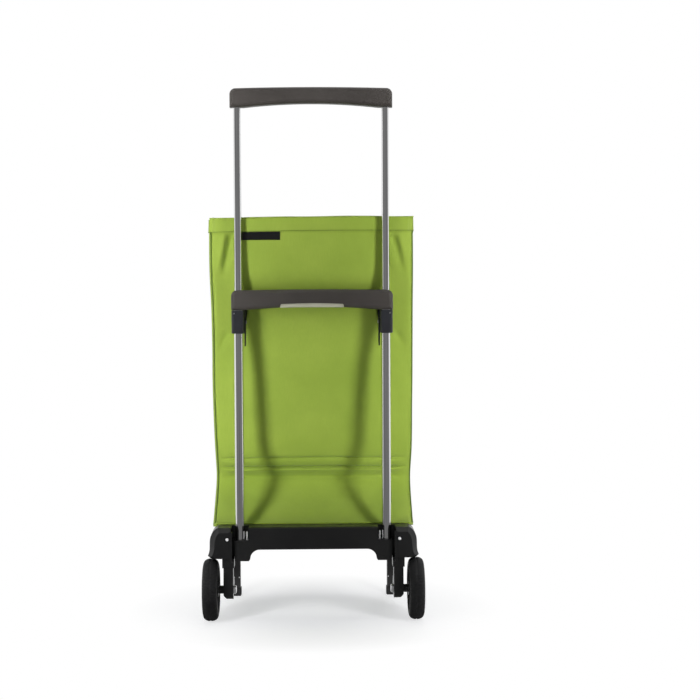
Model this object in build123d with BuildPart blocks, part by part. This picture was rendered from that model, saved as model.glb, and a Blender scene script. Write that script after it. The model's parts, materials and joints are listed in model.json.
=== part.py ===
from build123d import *
import os
from math import atan2, cos, degrees, radians, sin

# A two-wheel folding shopping trolley: a tall fabric bag hung on an aluminium cart.
# Millimetres. X to the right, Y forward (away from the user), Z up, floor at Z = 0.

# ---------------------------------------------------------------- driving dimensions
TUBE_X = 145.0                 # centre of each push-handle tube, either side of the middle
TUBE_Y = -100.0
OUTER_TUBE_R = 9.0
OUTER_TUBE_BORE_R = 7.8
INNER_TUBE_R = 7.75
INNER_TUBE_BORE_R = 6.75
FIT = 0.05                     # radial play of a fixed or running fit

WHEEL_R = 61.5
WHEEL_X = 203.2                # centre of the tread
TYRE_WIDTH = 30.4
TYRE_INNER_X = WHEEL_X - TYRE_WIDTH / 2
AXLE_INNER_X = 155.8
AXLE_OUTER_X = 213.4
AXLE_CAP_R = 8.0
AXLE_CAP_DOME = 2.8            # how far the cap reaches past the axle's end
WASHER_X = (211.8, 212.8)
WASHER_R = 9.0
RIM_X = (191.0, 215.5)
RIM_BORE_R = 41.0
RIM_HUB_X = (188.0, 211.0)
SPOKE_X = (199.0, 207.0)
SPOKE_MIDDLE_R = 27.0
SPOKE_SIZE = (30.0, 9.0)
SPOKES = 6
BUSH_X = (187.8, 211.4)
HUB_CAP_X = (211.1, 216.6)
HUB_CAP_BORE_R = 11.5
TREAD_CORNER_R = 9.0
TYRE_BORE_R = 46.0
AXLE_R = 5.0
BUSH_R = 8.0
HUB_R = 14.0

BAG_WIDTH = 400.0
BAG_REAR_Y = -88.5             # back edge of the bag's mouth
BAG_FRONT_Y = 131.0
BAG_BOTTOM_Z = 187.5
BAG_TOP_Z = 794.5
BAG_HEM_Z = 770.5
BAG_WALL = 3.0
BAG_BACK = (                   # the empty bag's back panel falls away from the tubes and buckles
    (-64.0, BAG_BOTTOM_Z),
    (-40.0, 214.0),
    (-4.0, 258.0),
    (-4.0, 280.0),
    (-27.0, 328.0),
    (-36.0, 414.0),
    (-46.0, 510.0),
    (-66.0, 625.0),
    (-86.0, 700.0),
    (BAG_REAR_Y, BAG_HEM_Z),
)
BAG_FRONT = ((BAG_FRONT_Y, 340.0), (120.0, 290.0), (BAG_FRONT_Y, 225.0))
LABEL_THICKNESS = 0.4
LABEL_X = (-137.0, -62.3)
LABEL_Z = (752.8, 769.8)

BEAM_REAR_Y = -116.0
BEAM_FRONT_Y = -66.0
BEAM_TOP_Z = 187.0
BEAM_LOWER_Z = 143.0
BEAM_END_X = 163.0
SOCKET_INNER_X = 125.0         # plastic block that holds the foot of each tube
SOCKET_OUTER_X = 155.0
SOCKET_TOP_Z = 161.0
SOCKET_BOTTOM_Z = 120.5
CLIP_X = (130.1, 132.9)        # spring clip beside the foot of each tube
CLIP_Y = (-106.0, -96.0)
CLIP_TOP_Z = 177.0
CLIP_SHEET = 0.8
SOCKET_FLARE_X = 106.0         # start of the flare towards each socket
NOTCH_INNER_X = 127.5          # notches in the beam's rear face beside each tube
NOTCH_OUTER_X = 162.0
NOTCH_DEEP_Y = -88.0
NOTCH_SHALLOW_Y = -96.0
HINGE_LUGS_X = ((104.0, 110.0), (130.0, 136.0))
HINGE_LUG_R = 10.0
BEAM_POCKET = (62.0, 42.0, 12.0)
BEAM_POCKET_PITCH = 66.0

HOUSING_REAR_Y = -126.0
HOUSING_FRONT_Y = -62.0
HOUSING_BOTTOM_Z = 126.0
HOUSING_BEVEL = 9.0
HOUSING_SIDE = ((208.0, 132.0), (204.4, 147.0), (203.4, 166.0), (197.5, 179.5), (188.0, 187.0))
HOUSING_RIDGE = ((200.4, 132.0), (195.0, 147.0), (193.4, 163.0), (190.8, 171.0), (186.0, 178.0))
HOUSING_LIP_X = (159.8, 165.4) # raised inner edge of the housing
HOUSING_LIP_Z = (119.0, 180.0)
COLLAR_HALF_X = 11.7           # collar around the top of the leg
COLLAR_HALF_Y = 16.5
COLLAR_WALL = 2.0
TENON_X = (5.0, 7.0)           # the leg's tenon inwards and outwards of its centre
TENON_HALF_Y = 10.0
TENON_TOP_Z = 174.0
HOUSING_POCKET_X = (181.0, 192.0)
HOUSING_POCKET_Z = (134.0, 170.0)
COLLAR_BOTTOM_Z = 107.0        # lower end of the sleeve around each wheel leg
LEG_X = 168.3                  # centre of each wheel leg
LEG_WIDTH = 19.0
LEG_DEPTH = 26.0
LEG_BOSS_R = 18.5
RIVET_X = 169.5
RIVET_Z = 165.0
RIVET_R = 2.6
RIVET_HEAD_R = 3.2

FOLD_Y = -30.0                 # hinge that lets the bag platform fold up
FOLD_Z = 175.0
FOLD_PIN_R = 4.0
PLATFORM_REACH = 178.0         # from that hinge to the front legs' hinge
PLATFORM_HALF_WIDTH = 150.0
PLATFORM_REAR_Y = -6.0
PLATFORM_Z = (181.0, 187.0)
PLATFORM_SLOTS = 7
PLATFORM_SLOT_PITCH = 40.0
PLATFORM_SLOT = (22.0, 96.0, 8.0)
PLATFORM_ARM_X = (110.6, 129.4)
FRONT_Y = FOLD_Y + PLATFORM_REACH
LINK_Z = 62.0                  # height of the lower link bars
LINK_PIN_R = 3.0
LINK_END_R = 7.0
LINK_INNER_X = 173.2
LINK_OUTER_X = 178.0
LUG_INNER_X = 161.0
LUG_OUTER_X = 172.5
FRONT_LEG_INNER_X = 157.0
FRONT_LEG_OUTER_X = 172.5
FRONT_LEG_TOP_R = 13.0
PAD_HEIGHT = 16.0
PAD_SOLE = 5.0
PAD_HALF_Y = 13.5
FRONT_LEG_FOOT = (21.0, 20.0)
FOOT_SCREW_OFFSETS = (2.2, 13.4)
FOOT_SCREW_Z = 40.0
FOOT_SCREW_R = 1.5

HANDLE_HALF_LENGTH = 159.0
HANDLE_REAR_Y = -115.0
HANDLE_FRONT_Y = -89.2
HANDLE_SOCKET_X = 132.0        # inner end of the flat under each tube
UPPER_TOP_Z = 1050.0
UPPER_END_TOP_Z = 1048.0
UPPER_MIDDLE_Z = 1018.5        # top of the finger arch
UPPER_BOTTOM_Z = 1011.0
LOWER_TOP_Z = 655.5
LOWER_END_TOP_Z = 654.0
LOWER_MIDDLE_Z = 621.0
LOWER_BOTTOM_Z = 615.0
OUTER_TUBE_FOOT_Z = 128.0
OUTER_TUBE_TOP_Z = 632.0
INNER_TUBE_FOOT_Z = 560.0
INNER_TUBE_TOP_Z = 1040.0
PLUG_FOOT_Z = 545.0
PLUG_SPIGOT = 14.0
GUIDE_R = 9.4
GUIDE_TOP_Z = 648.0

LEVER_Y = -103.0
LEVER_HALF_LENGTH = 64.0
LEVER_HALF_DEPTH = 8.5
LEVER_BOTTOM_Z = 619.5
LEVER_TOP_Z = 633.0
LEVER_WINDOW_END_Z = 626.5     # arched edge of the window that shows the lever
LEVER_WINDOW_MIDDLE_Z = 628.2
LEVER_TRAVEL = 5.0
LEVER_CHAMBER_TOP_Z = LEVER_TOP_Z + LEVER_TRAVEL + 1.0
SPRING_X = 30.0
SPRING_R = 3.0
SPRING_WIRE_R = 0.4
SPRING_FOOT_Z = 626.0
SPRING_TOP_Z = 646.0

BRACKET_INNER_X = 134.0
BRACKET_OUTER_X = 158.5
BRACKET_REAR_Y = -112.5
BRACKET_FRONT_Y = -82.3
BRACKET_BOTTOM_Z = 569.0
BRACKET_TOP_Z = 614.5
BRACKET_PIN_X = 150.0          # outer end of the hoop's pivot pin
BRACKET_SCREW_X = 153.0
BRACKET_SCREW_Z = BRACKET_TOP_Z - 6
BRACKET_SCREW_R = 1.5
HOOP_PIVOT_Y = -87.2
HOOP_PIVOT_Z = 591.0
HOOP_PIN_R = 2.5
HOOP_BAR_Y = 121.0
HOOP_BAR_Z = 772.0
HOOP_ROD_R = 3.5
HOOP_ARM_X = 135.6             # centre plane of the hoop's arms
HOOP_END_INNER_X = 131.0
HOOP_END_OUTER_X = 133.7
HOOP_TAIL_Z = 549.0            # centre of the rounded lower end of the hoop's tail
HOOP_BEND_R = 28.0
HOOP_SLEEVE_R = 4.8
HOOP_SLEEVE_LENGTH = 28.0
HOOP_SLEEVE_CAP = 6.0          # solid start of the sleeve before the rod's socket
HOOP_END_R = 8.0
HOOP_TAIL_R = 5.5
HOOP_BLADE = (48.0, 12.0)      # flat blade from the pivot along the arm
SLIT_X = (130.2, 141.2)        # slit in the bag's back panel for each hoop arm
SLIT_Y = (-72.0, -50.0)
SLIT_Z = (598.0, 632.0)
HOOP_SLEEVE_START = 27.0       # along the arm from the pivot, clear of the collar when folded

LID_BOTTOM_Z = 794.9
LID_THICKNESS = 2.4
LID_HALF_WIDTH = 199.0
LID_HINGE_Y = -86.0
LID_FRONT_Y = 135.5
LID_DROP_Z = 735.0

SIDES = (("left", -1), ("right", 1))


# ---------------------------------------------------------------- small helpers
def save(builder, label):
    """Name one finished piece and write it as its own STEP file."""
    builder.part.label = label
    export_step(builder.part, f"parts/{label}.step")


def side_plane(sign, inner, outer):
    """Plane across the object whose +X extrusion fills |X| from inner to outer on one side."""
    return Plane.YZ.offset(inner if sign > 0 else -outer)


def rear_plane(front_y):
    """Upright plane at front_y whose extrusion runs towards the user."""
    return Plane.XZ.offset(-front_y)


def block(x_range, y_range, z_range, mode=Mode.ADD):
    """Axis-aligned box inside the current part, given by its three spans."""
    spans = (x_range, y_range, z_range)
    centre = tuple((low + high) / 2 for low, high in spans)
    size = tuple(abs(high - low) for low, high in spans)
    with Locations(centre):
        Box(*size, mode=mode)


def cross_rod(sign, inner, outer, y, z, radius, mode=Mode.ADD):
    """Round bar along X between two distances from the middle, on one side."""
    with BuildSketch(side_plane(sign, inner, outer)) as section:
        with Locations((y, z)):
            Circle(radius)
    extrude(section.sketch, amount=outer - inner, mode=mode)


def span(sign, inner, outer):
    """X span from inner to outer on one side."""
    return (sign * inner, sign * outer)


# ---------------------------------------------------------------- frame castings and mouldings
def make_rear_beam():
    """Cross-beam with a flared socket block under each tube and two hinge lugs a side."""
    flare_r = SOCKET_INNER_X - SOCKET_FLARE_X
    flare_mid = flare_r * cos(radians(45))
    with BuildPart() as rear_beam:
        with BuildSketch(rear_plane(BEAM_FRONT_Y)):
            with BuildLine():
                Line((0, BEAM_LOWER_Z), (SOCKET_FLARE_X, BEAM_LOWER_Z))
                ThreePointArc(
                    (SOCKET_FLARE_X, BEAM_LOWER_Z),
                    (SOCKET_FLARE_X + flare_mid, BEAM_LOWER_Z - flare_r + flare_mid),
                    (SOCKET_INNER_X, BEAM_LOWER_Z - flare_r),
                )
                Polyline(
                    (SOCKET_INNER_X, BEAM_LOWER_Z - flare_r),
                    (SOCKET_INNER_X + 2.5, SOCKET_BOTTOM_Z),
                    (SOCKET_OUTER_X, SOCKET_BOTTOM_Z),
                    (SOCKET_OUTER_X, BEAM_LOWER_Z),
                    (BEAM_END_X, BEAM_LOWER_Z),
                    (BEAM_END_X, BEAM_TOP_Z),
                    (0, BEAM_TOP_Z),
                )
                mirror(about=Plane.YZ)
            make_face()
        extrude(amount=BEAM_FRONT_Y - BEAM_REAR_Y)
        long_edges = rear_beam.edges().filter_by(Axis.X)
        fillet(long_edges.group_by(Axis.Z)[-1].sort_by(Axis.Y)[0], 5)
        for _, sign in SIDES:
            block(span(sign, NOTCH_INNER_X, NOTCH_OUTER_X), (BEAM_REAR_Y - 1, NOTCH_DEEP_Y),
                  (SOCKET_TOP_Z, BEAM_TOP_Z + 3), Mode.SUBTRACT)
            block(span(sign, SOCKET_OUTER_X, NOTCH_OUTER_X), (BEAM_REAR_Y - 1, NOTCH_SHALLOW_Y),
                  (BEAM_LOWER_Z - 1, SOCKET_TOP_Z), Mode.SUBTRACT)
            block(span(sign, SOCKET_OUTER_X - 1, BEAM_END_X), (-90, BEAM_FRONT_Y),
                  (HOUSING_BOTTOM_Z, BEAM_LOWER_Z + 1))
            for inner, outer in HINGE_LUGS_X:
                with BuildSketch(side_plane(sign, inner, outer)):
                    with Locations(((BEAM_FRONT_Y - 1 + FOLD_Y) / 2, FOLD_Z)):
                        Rectangle(FOLD_Y - BEAM_FRONT_Y + 1, 2 * HINGE_LUG_R)
                    with Locations((FOLD_Y, FOLD_Z)):
                        Circle(HINGE_LUG_R)
                extrude(amount=outer - inner)
            cross_rod(sign, HINGE_LUGS_X[0][0] - 1, HINGE_LUGS_X[1][1] + 1, FOLD_Y, FOLD_Z,
                      FOLD_PIN_R + FIT, Mode.SUBTRACT)
            with BuildSketch(Plane.XY.offset(OUTER_TUBE_FOOT_Z)):
                with Locations((sign * TUBE_X, TUBE_Y)):
                    Circle(OUTER_TUBE_R + FIT)
            extrude(amount=SOCKET_TOP_Z - OUTER_TUBE_FOOT_Z + 1, mode=Mode.SUBTRACT)
        with Locations((0, (BEAM_REAR_Y + BEAM_FRONT_Y) / 2, BEAM_LOWER_Z)):
            with GridLocations(BEAM_POCKET_PITCH, 1, 3, 1):
                Box(*BEAM_POCKET, mode=Mode.SUBTRACT)
    save(rear_beam, "rear_beam")


def housing_outline(sign, front_y, side, bottom_z, top_z):
    """Rear view of a corner housing with the given curved outer side."""
    foot_x, foot_z = side[0]
    with BuildSketch(rear_plane(front_y)) as outline:
        with BuildLine():
            Spline(*[(sign * x, z) for x, z in side])
            Polyline((sign * side[-1][0], top_z), (sign * BEAM_END_X, top_z),
                     (sign * BEAM_END_X, bottom_z), (sign * (foot_x - 7), bottom_z),
                     (sign * foot_x, foot_z))
        make_face()
    return outline.sketch


def make_corner_housings():
    """Bevelled end casting that takes the top of a wheel leg."""
    for name, sign in SIDES:
        with BuildPart() as housing:
            full = housing_outline(sign, HOUSING_FRONT_Y, HOUSING_SIDE, HOUSING_BOTTOM_Z, BEAM_TOP_Z)
            extrude(full, amount=HOUSING_FRONT_Y - HOUSING_REAR_Y - HOUSING_BEVEL)
            loft([housing_outline(sign, HOUSING_REAR_Y + HOUSING_BEVEL, HOUSING_SIDE,
                                  HOUSING_BOTTOM_Z, BEAM_TOP_Z),
                  housing_outline(sign, HOUSING_REAR_Y, HOUSING_RIDGE,
                                  HOUSING_BOTTOM_Z + 1, BEAM_TOP_Z - HOUSING_BEVEL)])
            block(span(sign, *HOUSING_LIP_X), (HOUSING_REAR_Y - 1.5, HOUSING_REAR_Y + 6),
                  HOUSING_LIP_Z)
            block(span(sign, LEG_X - COLLAR_HALF_X, LEG_X + COLLAR_HALF_X),
                  (TUBE_Y - COLLAR_HALF_Y, TUBE_Y + COLLAR_HALF_Y),
                  (COLLAR_BOTTOM_Z, HOUSING_BOTTOM_Z))
            block(span(sign, LEG_X - COLLAR_HALF_X + COLLAR_WALL, LEG_X + COLLAR_HALF_X - COLLAR_WALL),
                  (TUBE_Y - LEG_DEPTH / 2 - 0.2, TUBE_Y + LEG_DEPTH / 2 + 0.2),
                  (COLLAR_BOTTOM_Z - 1, HOUSING_BOTTOM_Z), Mode.SUBTRACT)
            block(span(sign, LEG_X - TENON_X[0] - 0.2, LEG_X + TENON_X[1] + 0.2),
                  (TUBE_Y - TENON_HALF_Y - 0.2, TUBE_Y + TENON_HALF_Y + 0.2),
                  (HOUSING_BOTTOM_Z - 1, TENON_TOP_Z + 0.3), Mode.SUBTRACT)
            block(span(sign, *HOUSING_POCKET_X), (HOUSING_REAR_Y + 12, HOUSING_FRONT_Y + 1),
                  HOUSING_POCKET_Z, Mode.SUBTRACT)
            with BuildSketch(rear_plane(HOUSING_FRONT_Y + 1)):
                with Locations((sign * RIVET_X, RIVET_Z)):
                    Circle(RIVET_R + FIT)
            extrude(amount=HOUSING_FRONT_Y - HOUSING_REAR_Y + 2, mode=Mode.SUBTRACT)
        save(housing, f"{name}_corner_housing")


def make_leg_rivets():
    """Domed rivet through each corner housing and the top of its wheel leg."""
    with BuildPart() as rivets:
        for _, sign in SIDES:
            with BuildSketch(rear_plane(HOUSING_FRONT_Y)):
                with Locations((sign * RIVET_X, RIVET_Z)):
                    Circle(RIVET_R)
            extrude(amount=HOUSING_FRONT_Y - HOUSING_REAR_Y)
            with BuildSketch(rear_plane(HOUSING_REAR_Y)):
                with Locations((sign * RIVET_X, RIVET_Z)):
                    Circle(RIVET_HEAD_R)
            extrude(amount=1.8)
        heads = rivets.edges().filter_by(GeomType.CIRCLE).group_by(Axis.Y)[0]
        fillet(heads, 1.3)
    save(rivets, "leg_rivets")


def make_wheel_legs():
    """Moulded leg from the corner housing to the axle, with a lug for the lower link."""
    for name, sign in SIDES:
        with BuildPart() as leg:
            low, high = LEG_X - LEG_WIDTH / 2, LEG_X + LEG_WIDTH / 2
            leg_foot_z = WHEEL_R - LEG_BOSS_R
            with BuildSketch(side_plane(sign, low, high)):
                with Locations((TUBE_Y, WHEEL_R)):
                    Circle(LEG_BOSS_R)
                with Locations((TUBE_Y, COLLAR_BOTTOM_Z - 3)):
                    Rectangle(LEG_DEPTH, 4)
                make_hull()
                with Locations((TUBE_Y, (COLLAR_BOTTOM_Z + HOUSING_BOTTOM_Z) / 2 - 1.1)):
                    Rectangle(LEG_DEPTH, HOUSING_BOTTOM_Z - COLLAR_BOTTOM_Z + 1.8)
            extrude(amount=LEG_WIDTH)
            with BuildSketch(rear_plane(TUBE_Y + LEG_BOSS_R + 1)):
                with BuildLine():
                    Polyline((sign * (high + 1), leg_foot_z - 1), (sign * (high + 1), leg_foot_z + 11),
                             (sign * (high - 7), leg_foot_z - 1), close=True)
                make_face()
            extrude(amount=2 * LEG_BOSS_R + 2, mode=Mode.SUBTRACT)
            with BuildSketch(side_plane(sign, LUG_INNER_X, LUG_OUTER_X)):
                with Locations((TUBE_Y, LINK_Z)):
                    Circle(14)
                with Locations((FOLD_Y, LINK_Z)):
                    Circle(9)
                make_hull()
            extrude(amount=LUG_OUTER_X - LUG_INNER_X)
            block(span(sign, LEG_X - TENON_X[0], LEG_X + TENON_X[1]),
                  (TUBE_Y - TENON_HALF_Y, TUBE_Y + TENON_HALF_Y), (HOUSING_BOTTOM_Z - 0.2, TENON_TOP_Z))
            cross_rod(sign, low - 1, high + 1, TUBE_Y, WHEEL_R, AXLE_R + FIT, Mode.SUBTRACT)
            cross_rod(sign, LUG_INNER_X - 1, LUG_OUTER_X + 1, FOLD_Y, LINK_Z,
                      LINK_PIN_R + FIT, Mode.SUBTRACT)
            with BuildSketch(rear_plane(TUBE_Y + 12)):
                with Locations((sign * RIVET_X, RIVET_Z)):
                    Circle(RIVET_R + FIT)
            extrude(amount=24, mode=Mode.SUBTRACT)
        save(leg, f"{name}_wheel_leg")


# ---------------------------------------------------------------- wheels and axles
def ring(sign, inner, outer, radius, bore, mode=Mode.ADD):
    """Ring around the wheel axis between two distances from the middle."""
    with BuildSketch(side_plane(sign, inner, outer)) as section:
        with Locations((TUBE_Y, WHEEL_R)):
            Circle(radius)
            Circle(bore, mode=Mode.SUBTRACT)
    extrude(section.sketch, amount=outer - inner, mode=mode)


def make_axles():
    """Stub axles, their domed inner caps, the leg spacers and the outer retaining washers."""
    for name, sign in SIDES:
        with BuildPart() as axle:
            cross_rod(sign, AXLE_INNER_X, AXLE_OUTER_X, TUBE_Y, WHEEL_R, AXLE_R)
            chamfer(axle.edges().filter_by(GeomType.CIRCLE), 0.6)
        save(axle, f"{name}_axle")
    cap_seat_x = LEG_X - LEG_WIDTH / 2 - FIT
    with BuildPart() as caps:
        for _, sign in SIDES:
            cross_rod(sign, AXLE_INNER_X - AXLE_CAP_DOME, cap_seat_x, TUBE_Y, WHEEL_R, AXLE_CAP_R)
            cross_rod(sign, AXLE_INNER_X - 0.1, cap_seat_x + 0.1, TUBE_Y, WHEEL_R,
                      AXLE_R + FIT, Mode.SUBTRACT)
        rims = caps.edges().filter_by(GeomType.CIRCLE)
        domes = rims.filter_by(
            lambda edge: abs(abs(edge.center().X) - AXLE_INNER_X + AXLE_CAP_DOME) < FIT)
        fillet(domes, AXLE_CAP_DOME - 0.2)
    save(caps, "axle_caps")
    with BuildPart() as spacers:
        for _, sign in SIDES:
            ring(sign, LEG_X + LEG_WIDTH / 2 + FIT, TYRE_INNER_X - 0.6, BUSH_R, AXLE_R + FIT)
    save(spacers, "axle_spacers")
    with BuildPart() as washers:
        for _, sign in SIDES:
            ring(sign, *WASHER_X, WASHER_R, AXLE_R + FIT)
    save(washers, "axle_retaining_washers")


def make_wheels():
    """Foam-rubber tyre on a six-spoke rim, with a nylon bush and a push-on hub cap."""
    spin_axis = Axis((0, TUBE_Y, WHEEL_R), (1, 0, 0))
    tyre_mid_r = (WHEEL_R + TYRE_BORE_R) / 2
    for name, sign in SIDES:
        with BuildPart() as tyre:
            with BuildSketch(rear_plane(TUBE_Y)):
                with Locations((sign * WHEEL_X, WHEEL_R + tyre_mid_r)):
                    Rectangle(TYRE_WIDTH, WHEEL_R - TYRE_BORE_R)
                    corners = vertices().group_by(Axis.Y)[-1]
                    fillet(corners, TREAD_CORNER_R)
                with Locations((sign * WHEEL_X, 2 * WHEEL_R)):
                    Rectangle(1.8, 2.4, mode=Mode.SUBTRACT)
            revolve(axis=spin_axis)
        save(tyre, f"{name}_tyre")

        with BuildPart() as rim:
            ring(sign, *RIM_X, TYRE_BORE_R - FIT, RIM_BORE_R)
            ring(sign, *RIM_HUB_X, HUB_R, BUSH_R + FIT)
            with BuildSketch(side_plane(sign, *SPOKE_X)):
                with Locations((TUBE_Y, WHEEL_R)):
                    with PolarLocations(SPOKE_MIDDLE_R, SPOKES):
                        Rectangle(*SPOKE_SIZE)
                    Circle(BUSH_R + FIT, mode=Mode.SUBTRACT)
            extrude(amount=SPOKE_X[1] - SPOKE_X[0])
        save(rim, f"{name}_rim")

        with BuildPart() as bush:
            ring(sign, *BUSH_X, BUSH_R, AXLE_R + FIT)
        save(bush, f"{name}_hub_bush")

        with BuildPart() as cap:
            cross_rod(sign, *HUB_CAP_X, TUBE_Y, WHEEL_R, HUB_R + 1.5)
            fillet(cap.faces().sort_by(Axis.X)[-1 if sign > 0 else 0].edges(), 2.5)
            cross_rod(sign, HUB_CAP_X[0] - 0.1, HUB_CAP_X[1] - 2, TUBE_Y, WHEEL_R, HUB_CAP_BORE_R,
                      Mode.SUBTRACT)
        save(cap, f"{name}_hub_cap")


# ---------------------------------------------------------------- push handle
def make_tubes():
    """Outer and inner telescoping tubes with their plugs and guide bushes."""
    for name, sign in SIDES:
        with BuildPart() as outer_tube:
            with BuildSketch(Plane.XY.offset(OUTER_TUBE_FOOT_Z)):
                with Locations((sign * TUBE_X, TUBE_Y)):
                    Circle(OUTER_TUBE_R)
                    Circle(OUTER_TUBE_BORE_R, mode=Mode.SUBTRACT)
            extrude(amount=OUTER_TUBE_TOP_Z - OUTER_TUBE_FOOT_Z)
        save(outer_tube, f"{name}_outer_tube")

        with BuildPart() as inner_tube:
            with BuildSketch(Plane.XY.offset(INNER_TUBE_FOOT_Z)):
                with Locations((sign * TUBE_X, TUBE_Y)):
                    Circle(INNER_TUBE_R)
                    Circle(INNER_TUBE_BORE_R, mode=Mode.SUBTRACT)
            extrude(amount=INNER_TUBE_TOP_Z - INNER_TUBE_FOOT_Z)
        save(inner_tube, f"{name}_inner_tube")

    with BuildPart() as plugs:
        with BuildSketch(Plane.XY.offset(PLUG_FOOT_Z)):
            with GridLocations(2 * TUBE_X, 1, 2, 1):
                with Locations((0, TUBE_Y)):
                    Circle(INNER_TUBE_R)
        extrude(amount=INNER_TUBE_FOOT_Z - PLUG_FOOT_Z)
        with BuildSketch(Plane.XY.offset(INNER_TUBE_FOOT_Z)):
            with GridLocations(2 * TUBE_X, 1, 2, 1):
                with Locations((0, TUBE_Y)):
                    Circle(INNER_TUBE_BORE_R - FIT)
        extrude(amount=PLUG_SPIGOT)
    save(plugs, "inner_tube_plugs")

    with BuildPart() as guides:
        with BuildSketch(Plane.XY.offset(OUTER_TUBE_TOP_Z + 1)):
            with GridLocations(2 * TUBE_X, 1, 2, 1):
                with Locations((0, TUBE_Y)):
                    Circle(GUIDE_R)
                    Circle(INNER_TUBE_R + FIT, mode=Mode.SUBTRACT)
        extrude(amount=GUIDE_TOP_Z - OUTER_TUBE_TOP_Z - 1)
    save(guides, "tube_guide_bushes")


def grip_body(top_mid, top_end, middle, bottom):
    """Handle moulding: arched top, finger arch below, square ends around the tubes."""
    corner = 12.0
    half = HANDLE_HALF_LENGTH
    with BuildSketch(rear_plane(HANDLE_FRONT_Y)) as outline:
        with BuildLine():
            ThreePointArc((-half + corner, top_end), (0, top_mid), (half - corner, top_end))
            ThreePointArc((half - corner, top_end), (half - corner * 0.27, top_end - corner * 0.31),
                          (half, top_end - corner))
            Polyline((half, top_end - corner), (half, bottom), (HANDLE_SOCKET_X, bottom))
            ThreePointArc((HANDLE_SOCKET_X, bottom), (0, middle), (-HANDLE_SOCKET_X, bottom))
            Polyline((-HANDLE_SOCKET_X, bottom), (-half, bottom), (-half, top_end - corner))
            ThreePointArc((-half, top_end - corner), (-half + corner * 0.27, top_end - corner * 0.31),
                          (-half + corner, top_end))
        make_face()
    extrude(outline.sketch, amount=HANDLE_FRONT_Y - HANDLE_REAR_Y)


def grip_rounding(builder):
    """Round a handle's outline generously on the user side and lightly on the bag side."""
    faces = builder.faces().filter_by(Axis.Y).sort_by(Axis.Y)
    fillet(faces[0].edges(), 8)
    fillet(faces[-1].edges(), 1.2)


def tube_bore(radius, foot_z, top_z):
    """Pair of upright holes on the tube centres."""
    with BuildSketch(Plane.XY.offset(foot_z)) as holes:
        with GridLocations(2 * TUBE_X, 1, 2, 1):
            with Locations((0, TUBE_Y)):
                Circle(radius)
    extrude(holes.sketch, amount=top_z - foot_z, mode=Mode.SUBTRACT)


def make_upper_handle():
    """Push grip on top of the inner tubes."""
    with BuildPart() as upper_handle:
        grip_body(UPPER_TOP_Z, UPPER_END_TOP_Z, UPPER_MIDDLE_Z, UPPER_BOTTOM_Z)
        grip_rounding(upper_handle)
        tube_bore(INNER_TUBE_R + FIT, UPPER_BOTTOM_Z - 1, INNER_TUBE_TOP_Z)
    save(upper_handle, "upper_handle")


def make_lower_handle():
    """Carrying grip fixed on the outer tubes, with a chamber and a window for the release lever."""
    lip_z = LEVER_TOP_Z - 4
    slot_half = LEVER_HALF_LENGTH + 1.0
    chamber_half_depth = LEVER_HALF_DEPTH + 0.4
    with BuildPart() as lower_handle:
        grip_body(LOWER_TOP_Z, LOWER_END_TOP_Z, LOWER_MIDDLE_Z, LOWER_BOTTOM_Z)
        grip_rounding(lower_handle)
        tube_bore(OUTER_TUBE_R + FIT, LOWER_BOTTOM_Z - 1, OUTER_TUBE_TOP_Z + 1)
        tube_bore(GUIDE_R + FIT, OUTER_TUBE_TOP_Z + 1, GUIDE_TOP_Z)
        tube_bore(INNER_TUBE_R + 0.4, GUIDE_TOP_Z, LOWER_TOP_Z + 1)
        block((-slot_half, slot_half), (LEVER_Y - chamber_half_depth, LEVER_Y + chamber_half_depth),
              (LOWER_BOTTOM_Z, LEVER_CHAMBER_TOP_Z), Mode.SUBTRACT)
        block((-slot_half - 4, slot_half + 4),
              (LEVER_Y - chamber_half_depth, LEVER_Y + chamber_half_depth),
              (lip_z, LEVER_CHAMBER_TOP_Z), Mode.SUBTRACT)
        with BuildSketch(rear_plane(HANDLE_FRONT_Y + 1)):
            with BuildLine():
                Polyline((-slot_half + 4, LEVER_WINDOW_END_Z), (-slot_half, LOWER_BOTTOM_Z),
                         (slot_half, LOWER_BOTTOM_Z), (slot_half - 4, LEVER_WINDOW_END_Z))
                ThreePointArc((slot_half - 4, LEVER_WINDOW_END_Z), (0, LEVER_WINDOW_MIDDLE_Z),
                              (-slot_half + 4, LEVER_WINDOW_END_Z))
            make_face()
        extrude(amount=HANDLE_FRONT_Y - HANDLE_REAR_Y + 2, mode=Mode.SUBTRACT)
        with BuildSketch(Plane.XY.offset(LEVER_CHAMBER_TOP_Z - 1)):
            with GridLocations(2 * SPRING_X, 1, 2, 1):
                with Locations((0, LEVER_Y)):
                    Circle(SPRING_R + 1)
        extrude(amount=SPRING_TOP_Z - LEVER_CHAMBER_TOP_Z + 1, mode=Mode.SUBTRACT)
    save(lower_handle, "lower_handle")


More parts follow.
